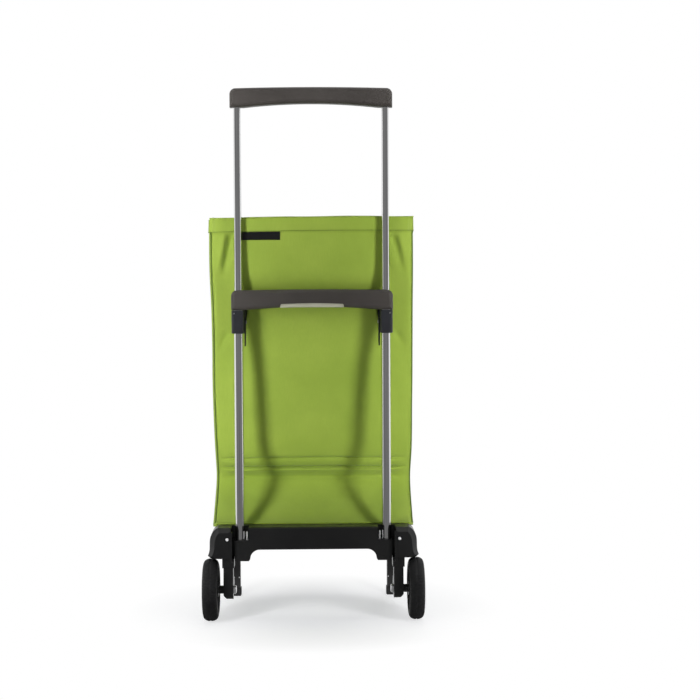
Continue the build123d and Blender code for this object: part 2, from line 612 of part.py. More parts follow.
def make_release_lever():
    """Squeeze bar under the carrying grip; its end lips keep it in the grip's chamber."""
    half = LEVER_HALF_LENGTH
    with BuildPart() as lever:
        with BuildSketch(rear_plane(LEVER_Y + LEVER_HALF_DEPTH)):
            with BuildLine():
                Polyline((half - 2, LEVER_BOTTOM_Z), (half, LEVER_WINDOW_END_Z), (half, LEVER_TOP_Z),
                         (-half, LEVER_TOP_Z), (-half, LEVER_WINDOW_END_Z), (-half + 2, LEVER_BOTTOM_Z))
                ThreePointArc((-half + 2, LEVER_BOTTOM_Z), (0, LEVER_BOTTOM_Z + 0.6),
                              (half - 2, LEVER_BOTTOM_Z))
            make_face()
        extrude(amount=2 * LEVER_HALF_DEPTH)
        lower_edges = lever.edges().filter_by(GeomType.CIRCLE)
        fillet(lower_edges, 2)
        block((-half - 3.5, half + 3.5), (LEVER_Y - LEVER_HALF_DEPTH, LEVER_Y + LEVER_HALF_DEPTH),
              (LEVER_TOP_Z - 3.5, LEVER_TOP_Z))
        with BuildSketch(Plane.XY.offset(SPRING_FOOT_Z)):
            with GridLocations(2 * SPRING_X, 1, 2, 1):
                with Locations((0, LEVER_Y)):
                    Circle(SPRING_R + 1)
        extrude(amount=LEVER_TOP_Z - SPRING_FOOT_Z + 1, mode=Mode.SUBTRACT)
    save(lever, "release_lever")


def make_lever_springs():
    """Two light coil springs that push the release lever down."""
    coil_height = SPRING_TOP_Z - SPRING_FOOT_Z - 2 * SPRING_WIRE_R
    with BuildPart() as springs:
        for sign in (-1, 1):
            foot = (sign * SPRING_X, LEVER_Y, SPRING_FOOT_Z + SPRING_WIRE_R)
            with BuildLine() as coil:
                Helix(pitch=coil_height / 8, height=coil_height, radius=SPRING_R, center=foot)
            with BuildSketch(Plane(coil.line @ 0, z_dir=coil.line % 0)):
                Circle(SPRING_WIRE_R)
            sweep(path=coil.line, is_frenet=True)
    save(springs, "lever_springs")


# ---------------------------------------------------------------- bag hanger
def make_brackets():
    """Plastic collar on each outer tube, just under the carrying grip."""
    for name, sign in SIDES:
        with BuildPart() as bracket:
            block(span(sign, BRACKET_INNER_X, BRACKET_OUTER_X), (BRACKET_REAR_Y, BRACKET_FRONT_Y),
                  (BRACKET_BOTTOM_Z, BRACKET_TOP_Z))
            fillet(bracket.edges().filter_by(Axis.Z).group_by(Axis.Y)[0], 6)
            chamfer(bracket.faces().sort_by(Axis.Z)[0].edges(), 1.2)
            with BuildSketch(Plane.XY.offset(BRACKET_BOTTOM_Z - 1)):
                with Locations((sign * TUBE_X, TUBE_Y)):
                    Circle(OUTER_TUBE_R + FIT)
            extrude(amount=BRACKET_TOP_Z - BRACKET_BOTTOM_Z + 2, mode=Mode.SUBTRACT)
            cross_rod(sign, BRACKET_INNER_X - 1, BRACKET_PIN_X + 0.1, HOOP_PIVOT_Y, HOOP_PIVOT_Z,
                      HOOP_PIN_R + FIT, Mode.SUBTRACT)
            with BuildSketch(rear_plane(TUBE_Y - OUTER_TUBE_R)):
                with Locations((sign * BRACKET_SCREW_X, BRACKET_SCREW_Z)):
                    Circle(BRACKET_SCREW_R + 0.1)
            extrude(amount=8, mode=Mode.SUBTRACT)
        save(bracket, f"{name}_bracket")

    with BuildPart() as screws:
        for _, sign in SIDES:
            with BuildSketch(rear_plane(TUBE_Y - OUTER_TUBE_R)):
                with Locations((sign * BRACKET_SCREW_X, BRACKET_SCREW_Z)):
                    Circle(BRACKET_SCREW_R)
            extrude(amount=-BRACKET_REAR_Y + TUBE_Y - OUTER_TUBE_R - 0.4)
    save(screws, "bracket_screws")

    with BuildPart() as pins:
        for _, sign in SIDES:
            cross_rod(sign, HOOP_END_INNER_X - 1, BRACKET_PIN_X, HOOP_PIVOT_Y, HOOP_PIVOT_Z,
                      HOOP_PIN_R)
            cross_rod(sign, HOOP_END_INNER_X - 1.6, HOOP_END_INNER_X - 0.3,
                      HOOP_PIVOT_Y, HOOP_PIVOT_Z, HOOP_PIN_R + 0.9)
    save(pins, "hoop_pivot_pins")


def make_hoop():
    """Steel U-rod that holds the bag's mouth open, with flat pivot ends and stop tails."""
    run_y = HOOP_BAR_Y - HOOP_PIVOT_Y
    run_z = HOOP_BAR_Z - HOOP_PIVOT_Z
    slope = atan2(run_z, run_y)
    reach = run_y / cos(slope)
    hoop_plane = Plane(origin=(0, HOOP_PIVOT_Y, HOOP_PIVOT_Z), x_dir=(1, 0, 0),
                       z_dir=(0, -sin(slope), cos(slope)))
    rod_start = HOOP_SLEEVE_START + HOOP_SLEEVE_CAP
    with BuildPart() as hoop:
        with BuildLine(hoop_plane) as route:
            FilletPolyline((-HOOP_ARM_X, rod_start), (-HOOP_ARM_X, reach),
                           (HOOP_ARM_X, reach), (HOOP_ARM_X, rod_start), radius=HOOP_BEND_R)
        with BuildSketch(Plane(route.line @ 0, z_dir=route.line % 0)):
            Circle(HOOP_ROD_R)
        sweep(path=route.line)
    save(hoop, "bag_hoop")

    for name, sign in SIDES:
        with BuildPart() as end:
            with BuildSketch(side_plane(sign, HOOP_END_INNER_X, HOOP_END_OUTER_X)):
                with Locations((HOOP_PIVOT_Y, HOOP_PIVOT_Z)):
                    Circle(HOOP_END_R)
                with Locations((HOOP_PIVOT_Y - 3, HOOP_TAIL_Z)):
                    Circle(HOOP_TAIL_R)
                make_hull()
                with Locations(Location((HOOP_PIVOT_Y + HOOP_BLADE[0] / 2 * cos(slope),
                                         HOOP_PIVOT_Z + HOOP_BLADE[0] / 2 * sin(slope)),
                                        degrees(slope))):
                    Rectangle(*HOOP_BLADE)
                with Locations((HOOP_PIVOT_Y, HOOP_PIVOT_Z)):
                    Circle(HOOP_PIN_R + FIT, mode=Mode.SUBTRACT)
            extrude(amount=HOOP_END_OUTER_X - HOOP_END_INNER_X)
            sleeve = Plane(origin=(sign * HOOP_ARM_X,
                                   HOOP_PIVOT_Y + HOOP_SLEEVE_START * cos(slope),
                                   HOOP_PIVOT_Z + HOOP_SLEEVE_START * sin(slope)),
                           z_dir=(0, cos(slope), sin(slope)))
            with BuildSketch(sleeve):
                Circle(HOOP_SLEEVE_R)
            extrude(amount=HOOP_SLEEVE_LENGTH)
            bore = sleeve.offset(HOOP_SLEEVE_CAP)
            with BuildSketch(bore):
                Circle(HOOP_ROD_R + FIT)
            extrude(amount=HOOP_SLEEVE_LENGTH, mode=Mode.SUBTRACT)
        save(end, f"{name}_hoop_end")


# ---------------------------------------------------------------- folding platform and front legs
def make_platform():
    """Slotted tray under the bag, with two hinge arms and a front beam."""
    tray_middle_z = sum(PLATFORM_Z) / 2
    tray_thickness = PLATFORM_Z[1] - PLATFORM_Z[0]
    with BuildPart() as platform:
        block((-PLATFORM_HALF_WIDTH, PLATFORM_HALF_WIDTH), (PLATFORM_REAR_Y, FRONT_Y - 4), PLATFORM_Z)
        with Locations((0, (FRONT_Y - HINGE_LUG_R) / 2 - 2, tray_middle_z)):
            with GridLocations(PLATFORM_SLOT_PITCH, 1, PLATFORM_SLOTS, 1):
                Box(*PLATFORM_SLOT, mode=Mode.SUBTRACT)
        with BuildSketch(Plane.YZ.offset(-PLATFORM_HALF_WIDTH - 4)):
            with Locations((FRONT_Y, FOLD_Z)):
                Circle(HINGE_LUG_R)
            with Locations((FRONT_Y - HINGE_LUG_R, tray_middle_z)):
                Rectangle(2 * tray_thickness, tray_thickness)
            make_hull()
        extrude(amount=2 * PLATFORM_HALF_WIDTH + 8)
        for _, sign in SIDES:
            with BuildSketch(side_plane(sign, *PLATFORM_ARM_X)):
                with Locations((FOLD_Y, FOLD_Z)):
                    Circle(HINGE_LUG_R)
                with Locations((FRONT_Y - 6, FOLD_Z)):
                    Circle(HINGE_LUG_R - 2)
                make_hull()
            extrude(amount=PLATFORM_ARM_X[1] - PLATFORM_ARM_X[0])
            cross_rod(sign, PLATFORM_ARM_X[0] - 1, PLATFORM_ARM_X[1] + 1, FOLD_Y, FOLD_Z,
                      FOLD_PIN_R + FIT, Mode.SUBTRACT)
        block((-PLATFORM_ARM_X[0] - 0.4, PLATFORM_ARM_X[0] + 0.4),
              (PLATFORM_REAR_Y, PLATFORM_REAR_Y + 4), (PLATFORM_Z[0] - 12, PLATFORM_Z[0]))
        with BuildSketch(Plane.YZ.offset(-PLATFORM_HALF_WIDTH - 5)):
            with Locations((FRONT_Y, FOLD_Z)):
                Circle(FOLD_PIN_R + FIT)
        extrude(amount=2 * PLATFORM_HALF_WIDTH + 10, mode=Mode.SUBTRACT)
    save(platform, "platform")

    with BuildPart() as hinge_pins:
        for _, sign in SIDES:
            cross_rod(sign, HINGE_LUGS_X[0][0] - 2, HINGE_LUGS_X[1][1] + 2, FOLD_Y, FOLD_Z,
                      FOLD_PIN_R)
        chamfer(hinge_pins.edges().filter_by(GeomType.CIRCLE), 0.6)
    save(hinge_pins, "platform_hinge_pins")


def make_front_legs():
    """Pair of legs on a cross rod at the front of the platform, with rubber feet."""
    rod_end = FRONT_LEG_OUTER_X + 1.5
    with BuildPart() as rod:
        with BuildSketch(Plane.YZ.offset(-rod_end)):
            with Locations((FRONT_Y, FOLD_Z)):
                Circle(FOLD_PIN_R)
        extrude(amount=2 * rod_end)
        chamfer(rod.edges().filter_by(GeomType.CIRCLE), 0.8)
    save(rod, "front_hinge_rod")

    width = FRONT_LEG_OUTER_X - FRONT_LEG_INNER_X
    for name, sign in SIDES:
        with BuildPart() as leg:
            with BuildSketch(side_plane(sign, FRONT_LEG_INNER_X, FRONT_LEG_OUTER_X)):
                with Locations((FRONT_Y, FOLD_Z)):
                    Circle(FRONT_LEG_TOP_R)
                with Locations((FRONT_Y, PAD_SOLE + FRONT_LEG_FOOT[1] / 2)):
                    Rectangle(*FRONT_LEG_FOOT)
                make_hull()
            extrude(amount=width)
            cross_rod(sign, FRONT_LEG_INNER_X - 1, FRONT_LEG_OUTER_X + 1, FRONT_Y, FOLD_Z,
                      FOLD_PIN_R + FIT, Mode.SUBTRACT)
            cross_rod(sign, FRONT_LEG_INNER_X - 1, FRONT_LEG_OUTER_X + 1, FRONT_Y, LINK_Z,
                      LINK_PIN_R + FIT, Mode.SUBTRACT)
        save(leg, f"{name}_front_leg")

        with BuildPart() as pad:
            block(span(sign, FRONT_LEG_INNER_X - 1.6, FRONT_LEG_OUTER_X),
                  (FRONT_Y - PAD_HALF_Y, FRONT_Y + PAD_HALF_Y), (0, PAD_HEIGHT))
            fillet(pad.edges().filter_by(Axis.Z), 3)
            chamfer(pad.faces().sort_by(Axis.Z)[0].edges(), 1)
            block(span(sign, FRONT_LEG_INNER_X, FRONT_LEG_OUTER_X + 1),
                  (FRONT_Y - PAD_HALF_Y + 2.6, FRONT_Y + PAD_HALF_Y - 2.6), (PAD_SOLE, PAD_HEIGHT + 1),
                  Mode.SUBTRACT)
        save(pad, f"{name}_foot_pad")

    with BuildPart() as screws:
        for _, sign in SIDES:
            for offset in FOOT_SCREW_OFFSETS:
                with BuildSketch(rear_plane(FRONT_Y - 11.2)):
                    with Locations((sign * (FRONT_LEG_INNER_X + offset), FOOT_SCREW_Z)):
                        Circle(FOOT_SCREW_R)
                extrude(amount=1.4)
    save(screws, "foot_screws")


def make_links():
    """Lower link bars that keep the front legs upright while the platform folds."""
    for name, sign in SIDES:
        with BuildPart() as link:
            with BuildSketch(side_plane(sign, LINK_INNER_X, LINK_OUTER_X)):
                with Locations((FOLD_Y, LINK_Z), (FRONT_Y, LINK_Z)):
                    Circle(LINK_END_R)
                make_hull()
                with Locations((FOLD_Y, LINK_Z)):
                    Circle(LINK_PIN_R + FIT, mode=Mode.SUBTRACT)
                with Locations((FRONT_Y, LINK_Z)):
                    Circle(LINK_PIN_R + 0.3, mode=Mode.SUBTRACT)
            extrude(amount=LINK_OUTER_X - LINK_INNER_X)
        save(link, f"{name}_link_bar")

    for label, y in (("rear_link_pins", FOLD_Y), ("front_link_pins", FRONT_Y)):
        with BuildPart() as pins:
            for _, sign in SIDES:
                cross_rod(sign, LUG_INNER_X, LINK_OUTER_X + 0.5, y, LINK_Z, LINK_PIN_R)
                cross_rod(sign, LINK_OUTER_X + 0.4, LINK_OUTER_X + 2, y, LINK_Z, 4.6)
        save(pins, label)


# ---------------------------------------------------------------- bag
def make_bag():
    """Open-topped fabric bag with a slit in the back panel for each hoop end."""
    half = BAG_WIDTH / 2
    profile = (*BAG_BACK, (BAG_REAR_Y, BAG_TOP_Z), (BAG_FRONT_Y, BAG_TOP_Z), *BAG_FRONT,
               (BAG_FRONT_Y, BAG_BOTTOM_Z))
    with BuildSketch(Plane.YZ.offset(-half)) as outside:
        with BuildLine():
            Polyline(*profile, close=True)
        make_face()
    with BuildSketch(Plane.YZ.offset(-half + BAG_WALL)) as inside:
        with BuildLine():
            Polyline(*profile, close=True)
        make_face()
        offset(amount=-BAG_WALL, kind=Kind.INTERSECTION, mode=Mode.REPLACE)
        with Locations(((BAG_REAR_Y + BAG_FRONT_Y) / 2, BAG_TOP_Z)):
            Rectangle(BAG_FRONT_Y - BAG_REAR_Y - 2 * BAG_WALL, 4 * BAG_WALL)
    with BuildPart() as bag:
        extrude(outside.sketch, amount=BAG_WIDTH)
        extrude(inside.sketch, amount=BAG_WIDTH - 2 * BAG_WALL, mode=Mode.SUBTRACT)
        for _, sign in SIDES:
            block(span(sign, *SLIT_X), SLIT_Y, SLIT_Z, Mode.SUBTRACT)
    save(bag, "bag_shell")


def make_label():
    """Blank woven label stitched just under the back hem."""
    slant = (BAG_REAR_Y - BAG_BACK[-2][0]) / (BAG_HEM_Z - BAG_BACK[-2][1])
    low_z, high_z = LABEL_Z
    low_y = BAG_REAR_Y + slant * (low_z - BAG_HEM_Z)
    high_y = BAG_REAR_Y + slant * (high_z - BAG_HEM_Z)
    with BuildPart() as label:
        with BuildSketch(Plane.YZ.offset(LABEL_X[0])):
            with BuildLine():
                Polyline((low_y, low_z), (high_y, high_z), (high_y - LABEL_THICKNESS, high_z),
                         (low_y - LABEL_THICKNESS, low_z), close=True)
            make_face()
        extrude(amount=LABEL_X[1] - LABEL_X[0])
    save(label, "bag_label")


def make_lid():
    """Flap over the bag's mouth, hinged at the back and hanging over the front edge."""
    with BuildPart() as lid:
        block((-LID_HALF_WIDTH, LID_HALF_WIDTH), (LID_HINGE_Y, LID_FRONT_Y),
              (LID_BOTTOM_Z, LID_BOTTOM_Z + LID_THICKNESS))
        with BuildSketch(Plane.YZ.offset(-LID_HALF_WIDTH)):
            with Locations((LID_HINGE_Y, LID_BOTTOM_Z + LID_THICKNESS / 2)):
                Circle(LID_THICKNESS / 2)
        extrude(amount=2 * LID_HALF_WIDTH)
        block((-LID_HALF_WIDTH, LID_HALF_WIDTH), (LID_FRONT_Y - LID_THICKNESS, LID_FRONT_Y),
              (LID_DROP_Z, LID_BOTTOM_Z + 1))
    save(lid, "lid_flap")


def make_tube_foot_clips():
    """Spring clip beside the foot of each outer tube, standing on the socket block."""
    with BuildPart() as clips:
        for _, sign in SIDES:
            block(span(sign, *CLIP_X), CLIP_Y, (SOCKET_TOP_Z, CLIP_TOP_Z))
            block(span(sign, CLIP_X[0] + CLIP_SHEET, CLIP_X[1] - CLIP_SHEET),
                  (CLIP_Y[0] - 1, CLIP_Y[1] - CLIP_SHEET), (SOCKET_TOP_Z - 1, CLIP_TOP_Z + 1),
                  Mode.SUBTRACT)
    save(clips, "tube_foot_clips")


os.makedirs("parts", exist_ok=True)
make_rear_beam()
make_corner_housings()
make_leg_rivets()
make_wheel_legs()
make_axles()
make_wheels()
make_tubes()
make_upper_handle()
make_lower_handle()
make_release_lever()
make_lever_springs()
make_brackets()
make_hoop()
make_platform()
make_front_legs()
make_links()
make_bag()
make_label()
make_lid()
make_tube_foot_clips()
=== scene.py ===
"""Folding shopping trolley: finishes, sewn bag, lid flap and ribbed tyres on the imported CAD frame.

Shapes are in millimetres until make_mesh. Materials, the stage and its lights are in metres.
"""

import json
import math

import bmesh
import bpy
from mathutils import Matrix, Vector, noise


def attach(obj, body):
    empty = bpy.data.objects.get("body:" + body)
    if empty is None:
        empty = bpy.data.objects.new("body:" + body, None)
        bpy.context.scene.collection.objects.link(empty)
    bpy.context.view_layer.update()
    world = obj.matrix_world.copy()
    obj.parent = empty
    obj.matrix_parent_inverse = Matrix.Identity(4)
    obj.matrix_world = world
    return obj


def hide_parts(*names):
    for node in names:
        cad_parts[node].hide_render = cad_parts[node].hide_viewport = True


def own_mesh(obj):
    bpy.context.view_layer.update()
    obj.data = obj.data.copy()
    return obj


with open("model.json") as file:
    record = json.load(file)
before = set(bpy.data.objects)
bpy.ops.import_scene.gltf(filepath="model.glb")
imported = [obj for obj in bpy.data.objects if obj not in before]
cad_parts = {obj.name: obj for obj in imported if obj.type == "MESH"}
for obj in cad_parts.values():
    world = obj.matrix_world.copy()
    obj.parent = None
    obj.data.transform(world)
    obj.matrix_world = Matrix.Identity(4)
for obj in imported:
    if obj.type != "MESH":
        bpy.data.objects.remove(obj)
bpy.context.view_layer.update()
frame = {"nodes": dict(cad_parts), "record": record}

MM = 0.001
SIDES = ((-1, "left"), (1, "right"))

# ---------------------------------------------------------------- small tools


def ramp(t):
    """Smooth step from 0 to 1."""
    t = min(max(t, 0.0), 1.0)
    return t * t * (3.0 - 2.0 * t)


def bump_at(value, centre, width):
    """Bell curve of height 1."""
    return math.exp(-((value - centre) / width) ** 2)


def curve_through(points, value):
    """Smooth curve through a table of (position, value), held level past both ends."""
    if value <= points[0][0]:
        return points[0][1]
    for k in range(len(points) - 1):
        x0, y0 = points[k]
        x1, y1 = points[k + 1]
        if value <= x1:
            before = points[max(k - 1, 0)]
            after = points[min(k + 2, len(points) - 1)]
            slope0 = (y1 - before[1]) / (x1 - before[0])
            slope1 = (after[1] - y0) / (after[0] - x0)
            step = x1 - x0
            t = (value - x0) / step
            at_start = 2 * t ** 3 - 3 * t ** 2 + 1
            out_of_start = t ** 3 - 2 * t ** 2 + t
            at_end = -2 * t ** 3 + 3 * t ** 2
            into_end = t ** 3 - t ** 2
            return at_start * y0 + out_of_start * step * slope0 + at_end * y1 + into_end * step * slope1
    return points[-1][1]


def stops(start, end, step, extra=()):
    """Sorted positions from start to end about step apart, keeping the extra ones exactly."""
    anchors = sorted({start, end, *[e for e in extra if start < e < end]})
    out = [anchors[0]]
    for a, b in zip(anchors, anchors[1:]):
        n = max(1, round((b - a) / step))
        out += [a + (b - a) * k / n for k in range(1, n + 1)]
    return out


def make_mesh(name, verts, faces, material):
    """New smooth-shaded object from millimetre vertices."""
    mesh = bpy.data.meshes.new(name)
    mesh.from_pydata([Vector(v) * MM for v in verts], [], faces)
    mesh.validate()
    for poly in mesh.polygons:
        poly.use_smooth = True
    obj = bpy.data.objects.new(name, mesh)
    bpy.context.scene.collection.objects.link(obj)
    obj.data.materials.append(material)
    return obj


def apply_modifiers(obj):
    """Replace the object's mesh by its evaluated one."""
    depsgraph = bpy.context.evaluated_depsgraph_get()
    mesh = bpy.data.meshes.new_from_object(obj.evaluated_get(depsgraph))
    obj.modifiers.clear()
    obj.data = mesh


def thicken(obj, thickness, side):
    """Give a sheet its thickness: side -1 builds inward from its faces, 1 outward."""
    shell = obj.modifiers.new("wall", "SOLIDIFY")
    shell.thickness = thickness * MM
    shell.offset = side
    apply_modifiers(obj)


def ring_faces(rings, sides):
    """Faces of a tube made of equal rings of vertices, closed at both ends."""
    faces = []
    for k in range(rings - 1):
        for s in range(sides):
            a = k * sides + s
            b = k * sides + (s + 1) % sides
            faces.append((a, b, b + sides, a + sides))
    faces.append(tuple(range(sides))[::-1])
    faces.append(tuple((rings - 1) * sides + s for s in range(sides)))
    return faces


def grid_faces(rows, columns):
    """Faces of an open grid of vertices that was laid down row by row."""
    return [(r * columns + c, r * columns + c + 1, (r + 1) * columns + c + 1, (r + 1) * columns + c)
            for r in range(rows - 1) for c in range(columns - 1)]


STITCH_SIDES = 6
# each ring of a stitch: place along it, share of its width, share of its height
STITCH_RINGS = ((-0.5, 0.35, -0.3), (-0.3, 0.9, 0.6), (0.0, 1.0, 1.0), (0.3, 0.9, 0.6), (0.5, 0.35, -0.3))


class Patch:
    """Vertices and faces gathered from several small shapes."""

    def __init__(self):
        self.verts = []
        self.faces = []

    def add(self, verts, faces):
        base = len(self.verts)
        self.verts += verts
        self.faces += [[base + i for i in face] for face in faces]

    def tube(self, path, radius, sides):
        """Closed round tube along millimetre points."""
        path = [Vector(p) for p in path]
        verts = []
        normal = None
        for k, point in enumerate(path):
            ahead = path[min(k + 1, len(path) - 1)] - path[max(k - 1, 0)]
            ahead.normalize()
            if normal is None:
                normal = ahead.orthogonal().normalized()
            normal = (normal - ahead * normal.dot(ahead)).normalized()
            other = ahead.cross(normal)
            for s in range(sides):
                angle = 2 * math.pi * s / sides
                verts.append(tuple(point + normal * radius * math.cos(angle)
                                   + other * radius * math.sin(angle)))
        self.add(verts, ring_faces(len(path), sides))

    def stitch(self, centre, along, out, size):
        """One thread stitch of (length, width, height): a low bar that dives into the cloth at both ends."""
        length, width, height = size
        centre, along, out = Vector(centre), Vector(along).normalized(), Vector(out).normalized()
        across = along.cross(out).normalized()
        verts = []
        for place, wide, lift in STITCH_RINGS:
            for s in range(STITCH_SIDES):
                angle = 2 * math.pi * s / STITCH_SIDES
                verts.append(tuple(centre + along * length * place
                                   + across * math.cos(angle) * width * wide / 2
                                   + out * (math.sin(angle) * height * wide / 2 + lift * height / 2)))
        self.add(verts, ring_faces(len(STITCH_RINGS), STITCH_SIDES))


# ---------------------------------------------------------------- materials


# sockets of a Mix node that is set to colours
MIX_FACTOR, MIX_BASE, MIX_COLOUR, MIX_RESULT = 0, 6, 7, 2


class Finish:
    """Node material with one Principled shader and helpers to feed it."""

    def __init__(self, name, colour, roughness, **sockets):
        self.material = bpy.data.materials.new(name)
        self.material.use_nodes = True
        self.tree = self.material.node_tree
        self.shader = self.tree.nodes["Principled BSDF"]
        self.shader.inputs["Base Color"].default_value = (*colour, 1.0)
        self.shader.inputs["Roughness"].default_value = roughness
        for key, value in sockets.items():
            self.shader.inputs[key.replace("_", " ")].default_value = value
        self.coords = self.tree.nodes.new("ShaderNodeTexCoord").outputs["Object"]
        self.normal = None

    def node(self, kind, **values):
        node = self.tree.nodes.new(kind)
        for key, value in values.items():
            if hasattr(node, key):
                setattr(node, key, value)
            else:
                node.inputs[key.replace("_", " ")].default_value = value
        return node

    def link(self, source, target):
        self.tree.links.new(source, target)

    def scaled(self, scale):
        """Object coordinates multiplied by scale, given per metre."""
        mapping = self.node("ShaderNodeMapping")
        mapping.inputs["Scale"].default_value = scale
        self.link(self.coords, mapping.inputs["Vector"])
        return mapping.outputs["Vector"]

    def noise(self, scale, detail=2.0, rough=0.5):
        """Noise with scale features per metre, one number or one for each axis."""
        if not hasattr(scale, "__len__"):
            scale = (scale, scale, scale)
        node = self.node("ShaderNodeTexNoise", Scale=1.0, Detail=detail, Roughness=rough)
        self.link(self.scaled(scale), node.inputs["Vector"])
        return node.outputs["Fac"]

    def wave(self, scale, axis):
        """Even bands across one axis."""
        node = self.node("ShaderNodeTexWave", bands_direction=axis, Scale=scale, Detail=1.0)
        self.link(self.coords, node.inputs["Vector"])
        return node.outputs["Fac"]

    def math(self, operation, a, b):
        node = self.node("ShaderNodeMath", operation=operation)
        self.link(a, node.inputs[0])
        self.link(b, node.inputs[1])
        return node.outputs[0]

    def spread(self, factor, low, high, start=0.0, end=1.0):
        """Map a factor to a range of numbers."""
        node = self.node("ShaderNodeMapRange", From_Min=start, From_Max=end, To_Min=low, To_Max=high)
        self.link(factor, node.inputs["Value"])
        return node.outputs["Result"]

    def tint(self, factor, *colours):
        """Colour ramp over a factor; colours are (position, rgb)."""
        node = self.node("ShaderNodeValToRGB")
        ramp_stops = node.color_ramp.elements
        while len(ramp_stops) < len(colours):
            ramp_stops.new(0.5)
        for stop, (position, rgb) in zip(ramp_stops, colours):
            stop.position = position
            stop.color = (*rgb, 1.0)
        self.link(factor, node.inputs["Fac"])
        return node.outputs["Color"]

    def toward(self, factor, base, colour):
        """Move a colour socket toward a plain colour by a factor."""
        node = self.node("ShaderNodeMix", data_type="RGBA")
        self.link(factor, node.inputs[MIX_FACTOR])
        self.link(base, node.inputs[MIX_BASE])
        node.inputs[MIX_COLOUR].default_value = (*colour, 1.0)
        return node.outputs[MIX_RESULT]

    def colour(self, socket):
        self.link(socket, self.shader.inputs["Base Color"])

    def rough(self, socket):
        self.link(socket, self.shader.inputs["Roughness"])

    def bump(self, height, distance, strength=1.0):
        """Add a bump, in metres, on top of those already there."""
        node = self.node("ShaderNodeBump", Distance=distance, Strength=strength)
        self.link(height, node.inputs["Height"])
        if self.normal is not None:
            self.link(self.normal, node.inputs["Normal"])
        self.normal = node.outputs["Normal"]
        self.link(self.normal, self.shader.inputs["Normal"])


def moulded(name, dark, light, roughness, grain, depth, **sockets):
    """Moulded plastic: blotchy tone, fine grain, uneven gloss and faint scuffs."""
    f = Finish(name, dark, roughness, **sockets)
    f.colour(f.tint(f.noise(14, 3), (0.3, dark), (0.7, light)))
    scuff = f.noise((60, 60, 420), 2, 0.7)
    f.rough(f.math("ADD", f.spread(f.noise(45, 3), roughness - 0.06, roughness + 0.06),
                   f.spread(scuff, -0.03, 0.07, 0.35, 0.8)))
    f.bump(f.noise(grain, 2, 0.6), depth)
    f.bump(f.noise(70, 2), 0.00015, 0.5)
    return f.material


def drawn_metal(name, dark, light, roughness, stretch):
    """Metal with fine streaks from drawing and handling."""
    f = Finish(name, light, roughness, Metallic=1.0)
    streak = f.noise(stretch, 3, 0.65)
    f.colour(f.tint(streak, (0.25, dark), (0.75, light)))
    f.rough(f.spread(streak, roughness - 0.05, roughness + 0.08, 0.3, 0.7))
    f.bump(streak, 0.000006, 0.4)
    return f.material


def weave(name, dark, light, pitch, depth, roughness, **sockets):
    """Plain weave: warp and weft threads, slight cloudiness and fuzz."""
    f = Finish(name, light, roughness, **sockets)
    bands = 1.0 / pitch / 2
    warp = f.wave(bands, "X")
    along = f.wave(bands, "Y")
    weft = f.wave(bands, "Z")
    cross = f.math("MAXIMUM", f.math("MULTIPLY", warp, along), weft)
    cloud = f.noise(9, 4, 0.55)
    slub = f.noise((500, 500, 60), 2, 0.5)
    base = f.tint(cloud, (0.3, dark), (0.7, light))
    f.colour(f.toward(f.spread(slub, 0.0, 0.35, 0.3, 0.75), base, dark))
    f.rough(f.spread(cloud, roughness - 0.05, roughness + 0.05))
    f.bump(cross, depth, 0.6)
    f.bump(f.noise(160, 3, 0.6), 0.0002, 0.35)
    return f.material


FABRIC_DARK = (0.235, 0.335, 0.040)
FABRIC_LIGHT = (0.300, 0.405, 0.056)
SHEEN = {"Sheen_Weight": 0.12, "Sheen_Roughness": 0.5}
MILKY = {"Subsurface_Weight": 0.1, "Subsurface_Scale": 0.004}

# name: dark colour, light colour, roughness, grains per metre, grain depth, shader values
PLASTICS = {
    "frame_plastic": ((0.0058, 0.0058, 0.0060), (0.0095, 0.0095, 0.0096), 0.34, 900, 0.00012,
                      {"Specular_IOR_Level": 0.48}),
    "grip_plastic": ((0.040, 0.035, 0.032), (0.054, 0.048, 0.044), 0.48, 1100, 0.00010, {}),
    "lever_plastic": ((0.39, 0.385, 0.300), (0.47, 0.465, 0.370), 0.42, 800, 0.00005, {}),
    "bracket_plastic": ((0.013, 0.0135, 0.016), (0.020, 0.021, 0.025), 0.42, 900, 0.0001, {}),
    "rim_plastic": ((0.035, 0.035, 0.037), (0.055, 0.055, 0.058), 0.38, 800, 0.0001, {}),
    "nylon": ((0.55, 0.54, 0.49), (0.66, 0.65, 0.60), 0.45, 600, 0.00005, MILKY),
    "rivet_metal": ((0.86, 0.86, 0.87), (0.92, 0.92, 0.92), 0.34, 900, 0.00002, {"Metallic": 0.3}),
    "coated_steel": ((0.030, 0.030, 0.033), (0.042, 0.042, 0.046), 0.40, 1500, 0.0001, {}),
    "tyre_foam": ((0.006, 0.006, 0.0065), (0.013, 0.013, 0.0135), 0.58, 700, 0.0002,
                  {"Specular_IOR_Level": 0.4}),
    "foot_rubber": ((0.014, 0.014, 0.014), (0.024, 0.024, 0.025), 0.78, 600, 0.0002, {}),
    # thread_dark is dark green thread; on the corner piping its darkness is partly painted shadow along the
    # bag's edges, and on the hem stitches partly painted shade along the hem's edge
    "thread_dark": ((0.075, 0.125, 0.018), (0.11, 0.17, 0.025), 0.7, 2500, 0.0001, {}),
    "thread_light": ((0.30, 0.40, 0.10), (0.38, 0.48, 0.14), 0.65, 2500, 0.0001, {}),
    "thread_black": ((0.018, 0.018, 0.019), (0.03, 0.03, 0.032), 0.6, 2500, 0.0001, {}),
}
# name: dark colour, light colour, roughness, streaks per metre along X, Y and Z
METALS = {
    "polished_tube": ((0.52, 0.52, 0.53), (0.88, 0.88, 0.88), 0.12, (700, 700, 4)),
    "steel": ((0.60, 0.61, 0.62), (0.78, 0.78, 0.79), 0.30, (500, 60, 500)),
    "bright_cap": ((0.84, 0.85, 0.86), (0.93, 0.93, 0.94), 0.12, (200, 200, 200)),
}
